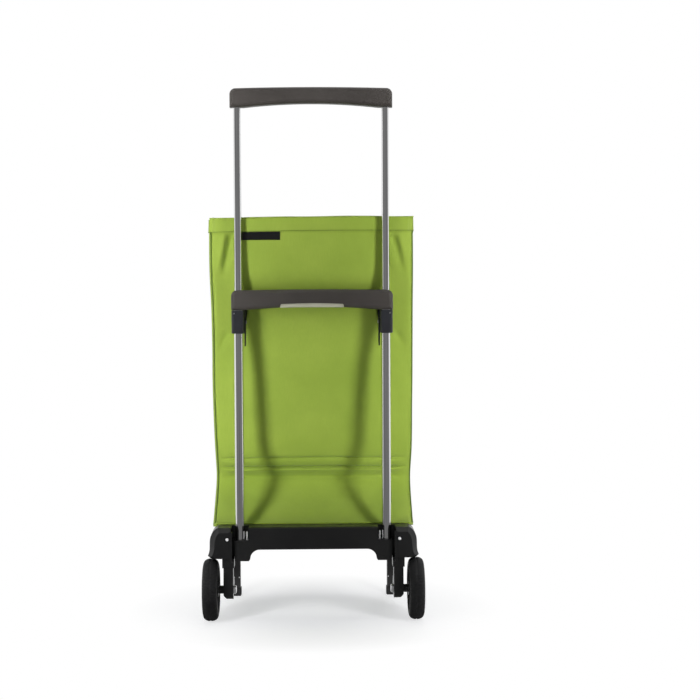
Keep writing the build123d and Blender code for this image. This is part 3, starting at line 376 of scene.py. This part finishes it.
# name: dark colour, light colour, thread pitch, weave depth, roughness, shader values
CLOTHS = {
    "bag_fabric": (FABRIC_DARK, FABRIC_LIGHT, 0.0011, 0.00022, 0.80, SHEEN),
    "label_weave": ((0.003, 0.003, 0.0035), (0.006, 0.006, 0.0068), 0.0006, 0.0001, 0.62,
                    {"Sheen_Weight": 0.02}),
}
FINISHES = {name: moulded(name, *values, **extra) for name, (*values, extra) in PLASTICS.items()}
FINISHES |= {name: drawn_metal(name, *values) for name, values in METALS.items()}
FINISHES |= {name: weave(name, *values, **extra) for name, (*values, extra) in CLOTHS.items()}
DARK_THREAD_AND_SHADE, THREAD_LIGHT, THREAD_BLACK = (FINISHES["thread_" + tone] for tone in ("dark", "light", "black"))

for part in frame["record"]["subparts"]:
    cad_object = frame["nodes"][part["node"]]
    cad_object.data.materials.clear()
    cad_object.data.materials.append(FINISHES[part["material_slot"]])

# ---------------------------------------------------------------- bag shape

BAG_BASE = 187.6
BAG_TOP = 794.5
HALF = 200.0                   # nominal half width
CORNER_R = 12.0
PANEL_HALF = HALF - CORNER_R   # half width of the flat part of the back and front panels
HEM = 26.4
HEM_EDGE = BAG_TOP - HEM
HEM_PROUD = 1.5
WALL = 2.2
MOUTH_BACK = -88.5
# height and Y of the back panel, and of the front panel
BACK_LINE = ((187.5, -78.0), (191.0, -70.0), (197.0, -59.0), (213.0, -41.0), (229.0, -24.0), (245.0, -11.5),
             (258.0, -4.5), (270.0, -2.0), (280.0, -3.5), (292.0, -9.0), (308.0, -17.0), (324.0, -25.0),
             (340.0, -30.0), (356.0, -32.5), (388.0, -34.0), (419.0, -36.5), (451.0, -39.0), (482.0, -42.0),
             (514.0, -46.5), (546.0, -52.0), (590.0, -60.0), (625.0, -66.5), (667.0, -79.0), (692.0, -85.0),
             (730.0, -88.0), (770.0, -88.3), (794.5, MOUTH_BACK))
FRONT_LINE = ((187.5, 129.0), (225.0, 128.0), (262.0, 123.0), (290.0, 120.0), (318.0, 124.5), (345.0, 129.0),
              (500.0, 130.5), (650.0, 130.5), (794.5, 131.0))
# height and half width on the left (-1) and on the right (1)
HALF_WIDTH = {
    -1: ((187.5, 201.2), (201.0, 200.4), (237.0, 198.9), (262.0, 197.8), (286.0, 197.4), (330.0, 198.3),
         (375.0, 199.8), (415.0, 200.9), (474.0, 201.8), (534.0, 201.2), (613.0, 201.4), (692.0, 203.0),
         (762.0, 203.0), (794.5, 202.0)),
    1: ((187.5, 200.9), (201.0, 200.2), (237.0, 199.4), (262.0, 199.0), (286.0, 199.2), (330.0, 200.6),
        (375.0, 201.2), (415.0, 201.3), (474.0, 201.9), (534.0, 201.7), (613.0, 201.3), (692.0, 200.8),
        (762.0, 200.5), (794.5, 200.0)),
}
SLIT_X = (130.2, 141.2)
SLIT_Z = (600.0, 630.0)
SLIT_HALF_WIDTH = 201.4        # the bag's half width at the slits
LABEL_X = (-137.0, -62.3)
LABEL_Z = (753.0, 769.8)
LABEL_GAP = 0.5                # from the back panel
LABEL_WALL = 0.5

# buckles across the back panel above the base: outward push, height, share of the drift, width
BUCKLES = ((2.2, 305.5, 1.0, 5.5), (-7.0, 294.0, 0.6, 2.1), (3.4, 287.5, 0.6, 3.6), (-4.5, 274.0, -0.5, 5.5))
# pull lines under the hem: side, top, distance from the middle, slant, depth
PULL_LINES = ((-1, 768.0, 157.5, 0.186, 11.0), (1, 764.0, 158.0, 0.31, 7.5))
PULL_LENGTH = 90.0
DENT_TOP = 573.0               # slanted dents outside the tubes, below the collars
DENT_LENGTH = 40.0
DENT_X = 166.0
DENT_SPREAD = 25.0


def wrinkle(x, y, z, size, seed):
    """Smooth noise from -1 to 1 with features about size across."""
    return noise.noise(Vector((x / size + seed, y / size, z / size)))


def back_relief(x, z):
    """Outward push of the back panel, in millimetres: buckles, sag and pull lines."""
    middle = 1.0 - (abs(x) / HALF) ** 4
    drift = 2.0 * wrinkle(x, 0, 0, 90, 3.1)
    push = -4.6 * bump_at(z, 313.5 + drift, 2.0) * (0.75 + 0.25 * middle)
    for depth, height, share, width in BUCKLES:
        push += depth * bump_at(z, height + share * drift, width)
    loose = ramp((760 - z) / 130) * ramp((z - 200) / 60)
    push += 2.2 * loose * wrinkle(x, 0, z * 0.45, 120, 7.7)
    push += 0.7 * loose * wrinkle(x, 0, z, 34, 1.3)
    for sign, top, start, slant, depth in PULL_LINES:
        outside = sign * x
        along = (top - z) / PULL_LENGTH
        crease = outside - start - slant * (top - z)
        strength = ramp(along / 0.16) * ramp((1.0 - along) / 0.45)
        push -= depth * strength * bump_at(crease, 2.0, 6.5)
        push += 4.0 * strength * bump_at(crease, 13.0, 7.0)
        lower = (DENT_TOP - z) / DENT_LENGTH
        strength = ramp(lower / 0.3 + 0.3) * ramp((1.3 - lower) / 0.5)
        push -= 6.5 * strength * bump_at(outside - DENT_X - DENT_SPREAD * lower, 0.0, 5.0)
    return push


def back_y(x, z):
    """Y of the back panel's cloth at a place on it."""
    return curve_through(BACK_LINE, z) - back_relief(x, z)


def side_relief(v, z, sign):
    """Inward pull of a side panel; v runs from 0 at the back to 1 at the front."""
    fold = math.sin(math.pi * v)
    pull = 6.0 * fold ** 2 * ramp((760 - z) / 200) * ramp((z - 190) / 60)
    pull += 3.5 * bump_at(z, 318, 7) * fold + 4.0 * bump_at(z, 292, 9) * fold
    pull += 1.6 * wrinkle(sign * 3.7, v * 2.1, z * 0.02, 1.0, 5.0) * fold
    return pull


def front_relief(x, z):
    """Outward push of the front panel: a full belly and one buckle above the base."""
    middle = 1.0 - (abs(x) / HALF) ** 3
    push = 5.0 * middle * ramp((770 - z) / 300) * ramp((z - 195) / 80)
    push -= 3.5 * bump_at(z, 300 + 4 * wrinkle(x, 5, 0, 80, 2.0), 5)
    push += 2.2 * bump_at(z, 315, 8)
    push += 1.8 * wrinkle(x, 9, z * 0.5, 90, 4.0) * ramp((770 - z) / 200)
    return push


SLIT_STOPS = [sign * x * PANEL_HALF / (SLIT_HALF_WIDTH - CORNER_R) for sign, _ in SIDES for x in SLIT_X]
BACK_STOPS = stops(-PANEL_HALF, PANEL_HALF, 4.7, SLIT_STOPS)
SIDE_STOPS = stops(0.0, 1.0, 0.026)
ARC = 5                        # steps round a corner
CORNER_FADE = 26.0             # relief fades over about this distance before a corner
CORNER_DROOP = 5.0             # the base's back corners hang this much lower


def hem_swell(z):
    """The folded hem stands a little proud of the panels."""
    return HEM_PROUD * ramp((z - HEM_EDGE + 0.4) / 0.8)


def uneven_edge(x, base, crown, tilt):
    """Height added along the mouth: everywhere, more in the middle, and more toward the right."""
    return base + crown * (1.0 - (x / HALF) ** 2) + tilt * x / HALF


def outline(z):
    """Closed outline of the bag at height z as (point, outward, zone) rows, counter-clockwise from above."""
    back = curve_through(BACK_LINE, z)
    front = curve_through(FRONT_LINE, z)
    left = curve_through(HALF_WIDTH[-1], z)
    right = curve_through(HALF_WIDTH[1], z)
    proud = hem_swell(z)
    bow = ramp((z - 640) / 150)
    droop = CORNER_DROOP * (1.0 - ramp((z - BAG_BASE) / 30.0))
    rows = []

    def put(x, y, outward, push, zone):
        nx, ny = outward
        rise = bow * uneven_edge(x, 0.5, 1.6, 1.4)
        rise -= droop * ramp((abs(x) - PANEL_HALF) / 11.0) * (y < 0)
        rows.append((Vector((x + nx * (push + proud), y + ny * (push + proud), z + rise)),
                     Vector((nx, ny, 0.0)), zone))

    def width(x):
        return right - CORNER_R if x > 0 else left - CORNER_R

    def fade(u, x):
        return ramp((width(u) + 4 - abs(x)) / CORNER_FADE)

    def corner(cx, cy, start):
        for k in range(1, ARC):
            angle = start + (math.pi / 2) * k / ARC
            put(cx + CORNER_R * math.cos(angle), cy + CORNER_R * math.sin(angle),
                (math.cos(angle), math.sin(angle)), 0.0, "corner")

    for u in BACK_STOPS:
        x = u / PANEL_HALF * width(u)
        put(x, back, (0, -1), back_relief(x, z) * fade(u, x), "back")
    corner(right - CORNER_R, back + CORNER_R, -math.pi / 2)
    for v in SIDE_STOPS:
        y = back + CORNER_R + (front - back - 2 * CORNER_R) * v
        put(right, y, (1, 0), -side_relief(v, z, 1), "right")
    corner(right - CORNER_R, front - CORNER_R, 0.0)
    for u in reversed(BACK_STOPS):
        x = u / PANEL_HALF * width(u)
        put(x, front, (0, 1), front_relief(x, z) * fade(u, x), "front")
    corner(-left + CORNER_R, front - CORNER_R, math.pi / 2)
    for v in reversed(SIDE_STOPS):
        y = back + CORNER_R + (front - back - 2 * CORNER_R) * v
        put(-left, y, (-1, 0), -side_relief(v, z, -1), "left")
    corner(-left + CORNER_R, back + CORNER_R, math.pi)
    return rows


BUCKLE_ROWS = (256, 1.6, 46)   # extra rows where the back panel buckles: lowest height, spacing, number
EXACT_ROWS = (190, 194, 258, 330, *SLIT_Z, HEM_EDGE - 0.5, HEM_EDGE + 0.5, BAG_TOP - 1)


def build_bag():
    """Sewn bag: one continuous sagging wall with a sewn-in base, a folded hem and slits for the hoop ends."""
    levels = stops(BAG_BASE, BAG_TOP, 5.0, EXACT_ROWS)
    low, step, number = BUCKLE_ROWS
    levels = sorted({*levels, *[low + step * k for k in range(number)]})
    rings = [outline(z) for z in levels]
    count = len(rings[0])
    verts = []
    for z, ring in zip(levels, rings):
        tuck = 1.0 - ramp((z - BAG_BASE) / 3.0)
        verts += [tuple(point - out * tuck) for point, out, _ in ring]
    faces = []
    for k in range(len(levels) - 1):
        mid_z = (levels[k] + levels[k + 1]) / 2
        for c in range(count):
            d = (c + 1) % count
            zone = rings[k][c][2]
            mid_x = abs(rings[k][c][0].x + rings[k][d][0].x) / 2
            in_slit = zone == "back" and SLIT_Z[0] < mid_z < SLIT_Z[1] and SLIT_X[0] < mid_x < SLIT_X[1]
            if not in_slit:
                faces.append((k * count + c, k * count + d, (k + 1) * count + d, (k + 1) * count + c))
    base_rows(verts, faces, count)
    bag = make_mesh("bag_body", verts, faces, FINISHES["bag_fabric"])
    thicken(bag, WALL, -1)
    for poly in bag.data.polygons:
        poly.use_smooth = True
    return bag


def base_rows(verts, faces, count):
    """Close the bag's base with a grid whose inner points are blended from the lowest ring's four edges."""
    nb = len(BACK_STOPS)
    side_run = 2 * (ARC - 1) + len(SIDE_STOPS)
    back_ids = list(range(nb))
    right_ids = list(range(nb, nb + side_run))
    front_ids = list(range(nb + side_run, 2 * nb + side_run))[::-1]
    left_ids = list(range(2 * nb + side_run, count))[::-1]
    grid = [back_ids]
    for r in range(side_run):
        t = (r + 1) / (side_run + 1)
        row = [left_ids[r]]
        start, end = Vector(verts[left_ids[r]]), Vector(verts[right_ids[r]])
        first = Vector(verts[back_ids[0]]).lerp(Vector(verts[front_ids[0]]), t)
        last = Vector(verts[back_ids[-1]]).lerp(Vector(verts[front_ids[-1]]), t)
        for c in range(1, nb - 1):
            s = c / (nb - 1)
            edge = Vector(verts[back_ids[c]]).lerp(Vector(verts[front_ids[c]]), t)
            point = edge + start.lerp(end, s) - first.lerp(last, s)
            row.append(len(verts))
            verts.append((point.x, point.y, BAG_BASE))
        row.append(right_ids[r])
        grid.append(row)
    grid.append(front_ids)
    for r in range(len(grid) - 1):
        for c in range(nb - 1):
            faces.append((grid[r][c], grid[r + 1][c], grid[r + 1][c + 1], grid[r][c + 1]))


# each kind of stitch as (length, width, height), then its pitch and, where it is a short row, its number
HEM_STITCH = (2.9, 1.2, 0.6)
HEM_STITCH_PITCH = 3.3
LID_STITCH = (2.4, 0.7, 0.5)
LID_STITCH_PITCH = 3.3
TACK_STITCH = (1.7, 0.6, 0.4)
TACK_STITCH_PITCH = 2.05
TACK_STITCHES = 12
SLIT_STITCH = (3.4, 0.9, 0.5)
SLIT_STITCH_PITCH = 1.5
SLIT_STITCHES = 11
LABEL_STITCH = (2.0, 0.6, 0.4)
LABEL_STITCH_PITCH = 2.6
LABEL_STITCHES = 6
TACK_COLUMNS = (190.5, 194.0)  # distances from the middle
PIPING_R = 1.5


def build_piping():
    """Bound corner seams that run up the four corners of the bag; their dark thread colour is partly the seam
    and partly painted shadow along the bag's edges.
    """
    patch = Patch()
    levels = stops(BAG_BASE + 4, HEM_EDGE + 1.0, 6.0)
    starts = [i for i, row in enumerate(outline(400.0)) if row[2] == "corner"]
    middles = [starts[k * (ARC - 1) + (ARC - 1) // 2] for k in range(4)]
    rings = [outline(z) for z in levels]
    for column in middles:
        path = [ring[column][0] + ring[column][1] * 0.5 for ring in rings]
        patch.tube(path, PIPING_R, 8)
    return make_mesh("bag_corner_piping", patch.verts, patch.faces, DARK_THREAD_AND_SHADE)


def build_hem_stitches():
    """Lock stitches around the hem, just above its folded edge; their dark thread is partly real stitching
    and partly painted shade along the hem's edge.
    """
    patch = Patch()
    ring = outline(HEM_EDGE + 1.2)
    travelled = 0.0
    for k in range(len(ring)):
        a, out, _ = ring[k]
        b = ring[(k + 1) % len(ring)][0]
        length = (b - a).length
        place = (-travelled) % HEM_STITCH_PITCH
        while place < length:
            patch.stitch(a.lerp(b, place / length), b - a, out, HEM_STITCH)
            place += HEM_STITCH_PITCH
        travelled += length
    return make_mesh("bag_hem_stitches", patch.verts, patch.faces, DARK_THREAD_AND_SHADE)


def build_bartacks():
    """Dense reinforcing stitches at the hem's back corners, and above and below the slits."""
    patch = Patch()
    for sign, _ in SIDES:
        for column_x in TACK_COLUMNS:
            for k in range(TACK_STITCHES):
                z = HEM_EDGE + 1.5 + TACK_STITCH_PITCH * k
                y = curve_through(BACK_LINE, z) - hem_swell(z)
                past = max(column_x - curve_through(HALF_WIDTH[sign], z) + CORNER_R, 0.0)
                bend = CORNER_R - math.sqrt(CORNER_R ** 2 - past ** 2)
                patch.stitch((sign * column_x, y + bend, z), (0, 0, 1), (sign * 0.4, -1, 0), TACK_STITCH)
        for z in (SLIT_Z[0] - 3.0, SLIT_Z[1] + 3.0):
            for k in range(SLIT_STITCHES):
                x = sign * (SLIT_X[0] - 0.9 + SLIT_STITCH_PITCH * k)
                patch.stitch((x, back_y(x, z), z), (0, 0, 1), (0, -1, 0), SLIT_STITCH)
    return make_mesh("bag_bartacks", patch.verts, patch.faces, THREAD_LIGHT)


def build_label():
    """Blank woven label that follows the back panel under the hem."""
    xs = stops(*LABEL_X, 3.0)
    zs = stops(*LABEL_Z, 2.5)
    verts = [(x, back_y(x, z) - LABEL_GAP, z) for z in zs for x in xs]
    label = make_mesh("woven_label", verts, grid_faces(len(zs), len(xs)), FINISHES["label_weave"])
    thicken(label, LABEL_WALL, 1)
    return label


def build_label_stitches():
    """Two short seams that hold the label's ends."""
    patch = Patch()
    for x in (LABEL_X[0] + 1.4, LABEL_X[1] - 1.4):
        for k in range(LABEL_STITCHES):
            z = LABEL_Z[0] + 2.0 + LABEL_STITCH_PITCH * k
            y = back_y(x, z) - (LABEL_GAP + LABEL_WALL)
            patch.stitch((x, y, z), (0, 0, 1), (0, -1, 0), LABEL_STITCH)
    return make_mesh("label_stitches", patch.verts, patch.faces, THREAD_BLACK)


bag = build_bag()
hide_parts("bag_shell")
label = build_label()
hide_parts("bag_label")
trims = [build_piping(), build_hem_stitches(), build_bartacks()]
label_seams = build_label_stitches()
for piece in (bag, label, label_seams, *trims):
    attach(piece, "chassis")
    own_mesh(piece)

# ---------------------------------------------------------------- lid flap

LID_HALF = 199.8
LID_REAR = -88.0
LID_FRONT = 134.0
LID_Z = 794.9
LID_DROP = 737.0               # height of the hanging front edge
LID_WALL = 2.8
LID_BEND = 7.0
LID_CROWN = 2.4
LID_FADE = 30.0                # the crown fades out over this distance before the front and back edges
LID_SEAM = 5.0                 # stitch line's distance from the side edges
BINDING_R = 1.7


def lid_sag(x):
    """The flap follows the slightly uneven top edge of the bag."""
    return uneven_edge(x, 0.2, 0.5, 1.2)


def lid_line():
    """Rows (y, z, normal y, normal z) along the flap's underside, from the back edge to the front edge."""
    bend_y, bend_z = LID_FRONT - LID_BEND, LID_Z - LID_BEND
    points = [(y, LID_Z, 0.0, 1.0) for y in stops(LID_REAR, bend_y, 6.0)]
    steps = 6
    for k in range(1, steps + 1):
        angle = math.pi / 2 * k / steps
        points.append((bend_y + LID_BEND * math.sin(angle), bend_z + LID_BEND * math.cos(angle),
                       math.sin(angle), math.cos(angle)))
    steps = 10
    for k in range(1, steps + 1):
        points.append((LID_FRONT, bend_z - (bend_z - LID_DROP) * k / steps, 1.0, 0.0))
    return points


def build_lid():
    """Padded flap over the mouth, slightly crowned, with a hanging front edge."""
    line = lid_line()
    xs = stops(-LID_HALF, LID_HALF, 6.0)
    verts = []
    for y, z, ny, nz in line:
        flat = nz > 0.99
        along = ramp((y - LID_REAR) / LID_FADE) * ramp((LID_FRONT - y) / LID_FADE) if flat else 0.0
        for x in xs:
            inner = 1.0 - (abs(x) / LID_HALF) ** 4
            crown = LID_CROWN * inner * along + 0.7 * wrinkle(x, y, z, 55, 8.0) * inner
            verts.append((x, y + ny * crown, z + nz * crown + lid_sag(x) * max(nz, 0.0)))
    lid = make_mesh("lid_panel", verts, grid_faces(len(line), len(xs)), FINISHES["bag_fabric"])
    thicken(lid, LID_WALL, 1)
    return lid


def build_lid_binding():
    """Bias tape sewn over the flap's side and front edges."""
    mid = LID_WALL / 2
    sides = [[(x, y + ny * mid, z + nz * mid + lid_sag(x) * nz) for y, z, ny, nz in lid_line()]
             for x in (LID_HALF, -LID_HALF)]
    front = [(x, LID_FRONT + mid, LID_DROP) for x in stops(-LID_HALF, LID_HALF, 8.0)]
    patch = Patch()
    for path in (*sides, front):
        patch.tube(path, BINDING_R, 10)
    return make_mesh("lid_binding", patch.verts, patch.faces, FINISHES["bag_fabric"])


def build_lid_stitches():
    """Stitch lines just inside the binding, along the sides and above the front edge."""
    patch = Patch()
    line = lid_line()
    for x in (LID_HALF - LID_SEAM, LID_SEAM - LID_HALF):
        for (y0, z0, ny0, nz0), (y1, z1, ny1, nz1) in zip(line, line[1:]):
            start = Vector((x, y0 + ny0 * LID_WALL, z0 + nz0 * LID_WALL))
            end = Vector((x, y1 + ny1 * LID_WALL, z1 + nz1 * LID_WALL))
            number = max(1, round((end - start).length / LID_STITCH_PITCH))
            for k in range(number):
                patch.stitch(start.lerp(end, (k + 0.5) / number), end - start, (0, ny0, nz0), LID_STITCH)
    for x in stops(-LID_HALF + 6, LID_HALF - 6, LID_STITCH_PITCH):
        patch.stitch((x, LID_FRONT + LID_WALL, LID_DROP + LID_SEAM), (1, 0, 0), (0, 1, 0), LID_STITCH)
    return make_mesh("lid_stitches", patch.verts, patch.faces, DARK_THREAD_AND_SHADE)


lid = build_lid()
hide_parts("lid_flap")
for piece in (lid, build_lid_binding(), build_lid_stitches()):
    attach(piece, "lid")
    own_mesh(piece)

# ---------------------------------------------------------------- tyres

TYRE_R = 61.5
TYRE_BORE = 46.0
TYRE_HALF = 15.2
BEAD = 3.2                     # height of the slanted bead next to the rim
BEAD_INSET = 1.2
ROUNDNESS = 2 / 2.15           # power of sine and cosine in the section: 1 would be round
RIBS = 128
RIB_HEIGHT = 0.9
RIB_PROFILE = (0.0, 0.55, 1.0, 1.0, 0.55, 0.0)
GROOVE_DEPTH = 0.4
WHEEL_Y = -100.0
WHEEL_Z = TYRE_R
WHEEL_X = 203.2


def tyre_section():
    """Half-moon section from one bead round the tread to the other, as (x, radius, share of the ribs)."""
    rows = [(-TYRE_HALF + BEAD_INSET, TYRE_BORE, 0.0)]
    steps = 30
    for k in range(steps + 1):
        angle = math.pi * k / steps
        cos, sin = math.cos(angle), math.sin(angle)
        x = -TYRE_HALF * math.copysign(abs(cos) ** ROUNDNESS, cos)
        radius = TYRE_BORE + BEAD + (TYRE_R - RIB_HEIGHT - TYRE_BORE - BEAD) * abs(sin) ** ROUNDNESS
        groove = GROOVE_DEPTH * bump_at(x, 0.0, 0.55)
        rows.append((x, radius - groove, ramp((sin - 0.25) / 0.35) * (1 - bump_at(x, 0.0, 0.9))))
    rows.append((TYRE_HALF - BEAD_INSET, TYRE_BORE, 0.0))
    return rows


def build_tyre(name, sign):
    """Foam tyre with fine cross ribs, a centre groove and plain side walls."""
    section = tyre_section()
    n = len(section)
    total = RIBS * len(RIB_PROFILE)
    verts = []
    for step in range(total):
        angle = 2 * math.pi * step / total
        lift = RIB_PROFILE[step % len(RIB_PROFILE)]
        for x, radius, tread in section:
            r = radius + RIB_HEIGHT * lift * tread
            verts.append((sign * WHEEL_X + x, WHEEL_Y + r * math.cos(angle), WHEEL_Z + r * math.sin(angle)))
    faces = []
    for step in range(total):
        ahead = (step + 1) % total
        for k in range(n):
            m = (k + 1) % n
            faces.append((step * n + k, step * n + m, ahead * n + m, ahead * n + k))
    tyre = make_mesh(name, verts, faces, FINISHES["tyre_foam"])
    bm = bmesh.new()
    bm.from_mesh(tyre.data)
    bmesh.ops.recalc_face_normals(bm, faces=bm.faces)
    bm.to_mesh(tyre.data)
    bm.free()
    return tyre


for sign, side in SIDES:
    tyre = build_tyre(side + "_ribbed_tyre", sign)
    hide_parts(side + "_tyre")
    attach(tyre, side + "_wheel")

# ---------------------------------------------------------------- stage, light and camera


FLOOR_R = 3.6
FLOOR_GLOW = 0.43              # lifts the shadows on the floor
FLOOR_FADE = (0.13, 0.38)      # metres from its middle between which it melts into the surroundings
FILL = 0.035                   # strength of the light from all round
# what shiny surfaces mirror: grey toward -Y, behind the trolley, and white toward +Y; edges from 0 to 1
MIRROR_DARK = 0.19
MIRROR_DARK_END = 0.36
MIRROR_LIGHT_START = 0.44
MIRROR_STRENGTH = 1.1

# name: place, target, size, watts, beam in degrees
LIGHTS = {
    "strip_left": ((-0.389, -0.453, 0.70), (-0.24, -0.05, 0.68), (0.10, 1.35), 2.8, 110),
    "strip_right": ((0.431, -0.444, 0.70), (0.28, -0.05, 0.68), (0.10, 1.35), 2.7, 110),
    "upper": ((0, -0.8, 1.2), (0, -0.1, 1.05), (0.4, 0.12), 0.2, 50),
    "top": ((0, 0.2, 3.0), (0, 0, 0.4), (2.2, 1.6), 16, 180),
    "front": ((0.5, 2.2, 1.3), (0, 0.1, 0.55), (1.2, 1.2), 12, 180),
}

CAMERA_PLACE = (0.006, -3.1, 0.664)
CAMERA_LENS = 78.3
CAMERA_PITCH = 2.455
CAMERA_YAW = 1.303
CAMERA_ROLL = 0.27


def area_light(name, place, target, size, power, beam):
    """Rectangular lamp that neither the camera nor a mirror sees."""
    data = bpy.data.lights.new(name, "AREA")
    data.shape = "RECTANGLE"
    data.size, data.size_y = size
    data.energy = power
    data.spread = math.radians(beam)
    light = bpy.data.objects.new(name, data)
    light.location = place
    light.rotation_euler = (Vector(target) - Vector(place)).to_track_quat("-Z", "Y").to_euler()
    bpy.context.scene.collection.objects.link(light)
    light.visible_camera = False
    light.visible_glossy = False


def mix_shaders(tree, factor, first, second):
    """Shader that goes from the first to the second as the factor goes from 0 to 1."""
    node = tree.nodes.new("ShaderNodeMixShader")
    for k, socket in enumerate((factor, first, second)):
        tree.links.new(socket, node.inputs[k])
    return node.outputs[0]


def build_stage():
    """White floor that melts into the white surroundings."""
    bpy.ops.mesh.primitive_circle_add(vertices=96, radius=FLOOR_R, fill_type="NGON")
    floor = bpy.context.object
    floor.name = "floor"
    f = Finish("floor_white", (0.90, 0.905, 0.92), 0.75)
    f.rough(f.spread(f.noise(3.0, 2), 0.70, 0.82))
    plain = f.shader.outputs[0]
    rays = f.node("ShaderNodeLightPath").outputs
    distance = f.node("ShaderNodeVectorMath", operation="LENGTH")
    f.link(f.coords, distance.inputs[0])
    distance = distance.outputs["Value"]

    lift = f.node("ShaderNodeEmission", Color=(0.97, 0.98, 1.0, 1.0), Strength=FLOOR_GLOW)
    lit = f.node("ShaderNodeAddShader")
    f.link(plain, lit.inputs[0])
    f.link(lift.outputs[0], lit.inputs[1])
    white = f.node("ShaderNodeEmission")
    fade = f.spread(distance, 0.0, 1.0, *FLOOR_FADE)
    to_camera = mix_shaders(f.tree, fade, lit.outputs[0], white.outputs[0])

    place = f.node("ShaderNodeSeparateXYZ")
    f.link(f.coords, place.inputs[0])
    bearing = f.math("DIVIDE", place.outputs["Y"], distance)
    edges = [2 * edge - 1 for edge in (MIRROR_DARK_END, MIRROR_LIGHT_START)]
    mirrored = f.node("ShaderNodeEmission")
    f.link(f.spread(bearing, MIRROR_DARK, 1.0, *edges), mirrored.inputs["Strength"])
    to_others = mix_shaders(f.tree, rays["Is Glossy Ray"], plain, mirrored.outputs[0])

    seen = mix_shaders(f.tree, rays["Is Camera Ray"], to_others, to_camera)
    f.link(seen, f.tree.nodes["Material Output"].inputs["Surface"])
    floor.data.materials.append(f.material)


def background(tree, colour, strength):
    node = tree.nodes.new("ShaderNodeBackground")
    node.inputs["Color"].default_value = (*colour, 1.0)
    node.inputs["Strength"].default_value = strength
    return node


def build_world():
    """White backdrop, weak fill light, and mirrored surroundings that are grey behind the trolley."""
    world = bpy.data.worlds.new("studio")
    bpy.context.scene.world = world
    world.use_nodes = True
    tree = world.node_tree
    seen = background(tree, (1.0, 1.0, 1.0), 1.0)
    fill = background(tree, (0.96, 0.98, 1.0), FILL)
    mirrored = tree.nodes["Background"]
    mirrored.inputs["Strength"].default_value = MIRROR_STRENGTH
    rays = tree.nodes.new("ShaderNodeLightPath").outputs
    coords = tree.nodes.new("ShaderNodeTexCoord")
    split = tree.nodes.new("ShaderNodeSeparateXYZ")
    span = tree.nodes.new("ShaderNodeMapRange")
    span.inputs["From Min"].default_value = -1.0
    shade = tree.nodes.new("ShaderNodeValToRGB")
    dark, light = shade.color_ramp.elements
    dark.position, light.position = MIRROR_DARK_END, MIRROR_LIGHT_START
    dark.color = (MIRROR_DARK, MIRROR_DARK, MIRROR_DARK, 1)
    light.color = (1.0, 1.0, 1.0, 1)
    tree.links.new(coords.outputs["Generated"], split.inputs[0])
    tree.links.new(split.outputs["Y"], span.inputs["Value"])
    tree.links.new(span.outputs["Result"], shade.inputs["Fac"])
    tree.links.new(shade.outputs["Color"], mirrored.inputs["Color"])
    unseen = mix_shaders(tree, rays["Is Glossy Ray"], fill.outputs[0], mirrored.outputs[0])
    final = mix_shaders(tree, rays["Is Camera Ray"], unseen, seen.outputs[0])
    tree.links.new(final, tree.nodes["World Output"].inputs["Surface"])


def build_camera():
    """Camera almost straight behind the trolley, looking slightly down."""
    data = bpy.data.cameras.new("camera")
    data.lens = CAMERA_LENS
    data.sensor_width = 36.0
    camera = bpy.data.objects.new("camera", data)
    pitch, yaw, roll = (math.radians(angle) for angle in (CAMERA_PITCH, CAMERA_YAW, CAMERA_ROLL))
    camera.matrix_world = (Matrix.Translation(CAMERA_PLACE) @ Matrix.Rotation(-yaw, 4, "Z")
                           @ Matrix.Rotation(math.pi / 2 - pitch, 4, "X") @ Matrix.Rotation(-roll, 4, "Z"))
    bpy.context.scene.collection.objects.link(camera)
    bpy.context.scene.camera = camera


build_stage()
build_world()
for name, values in LIGHTS.items():
    area_light(name, *values)
build_camera()
bpy.context.scene.view_settings.view_transform = "Standard"
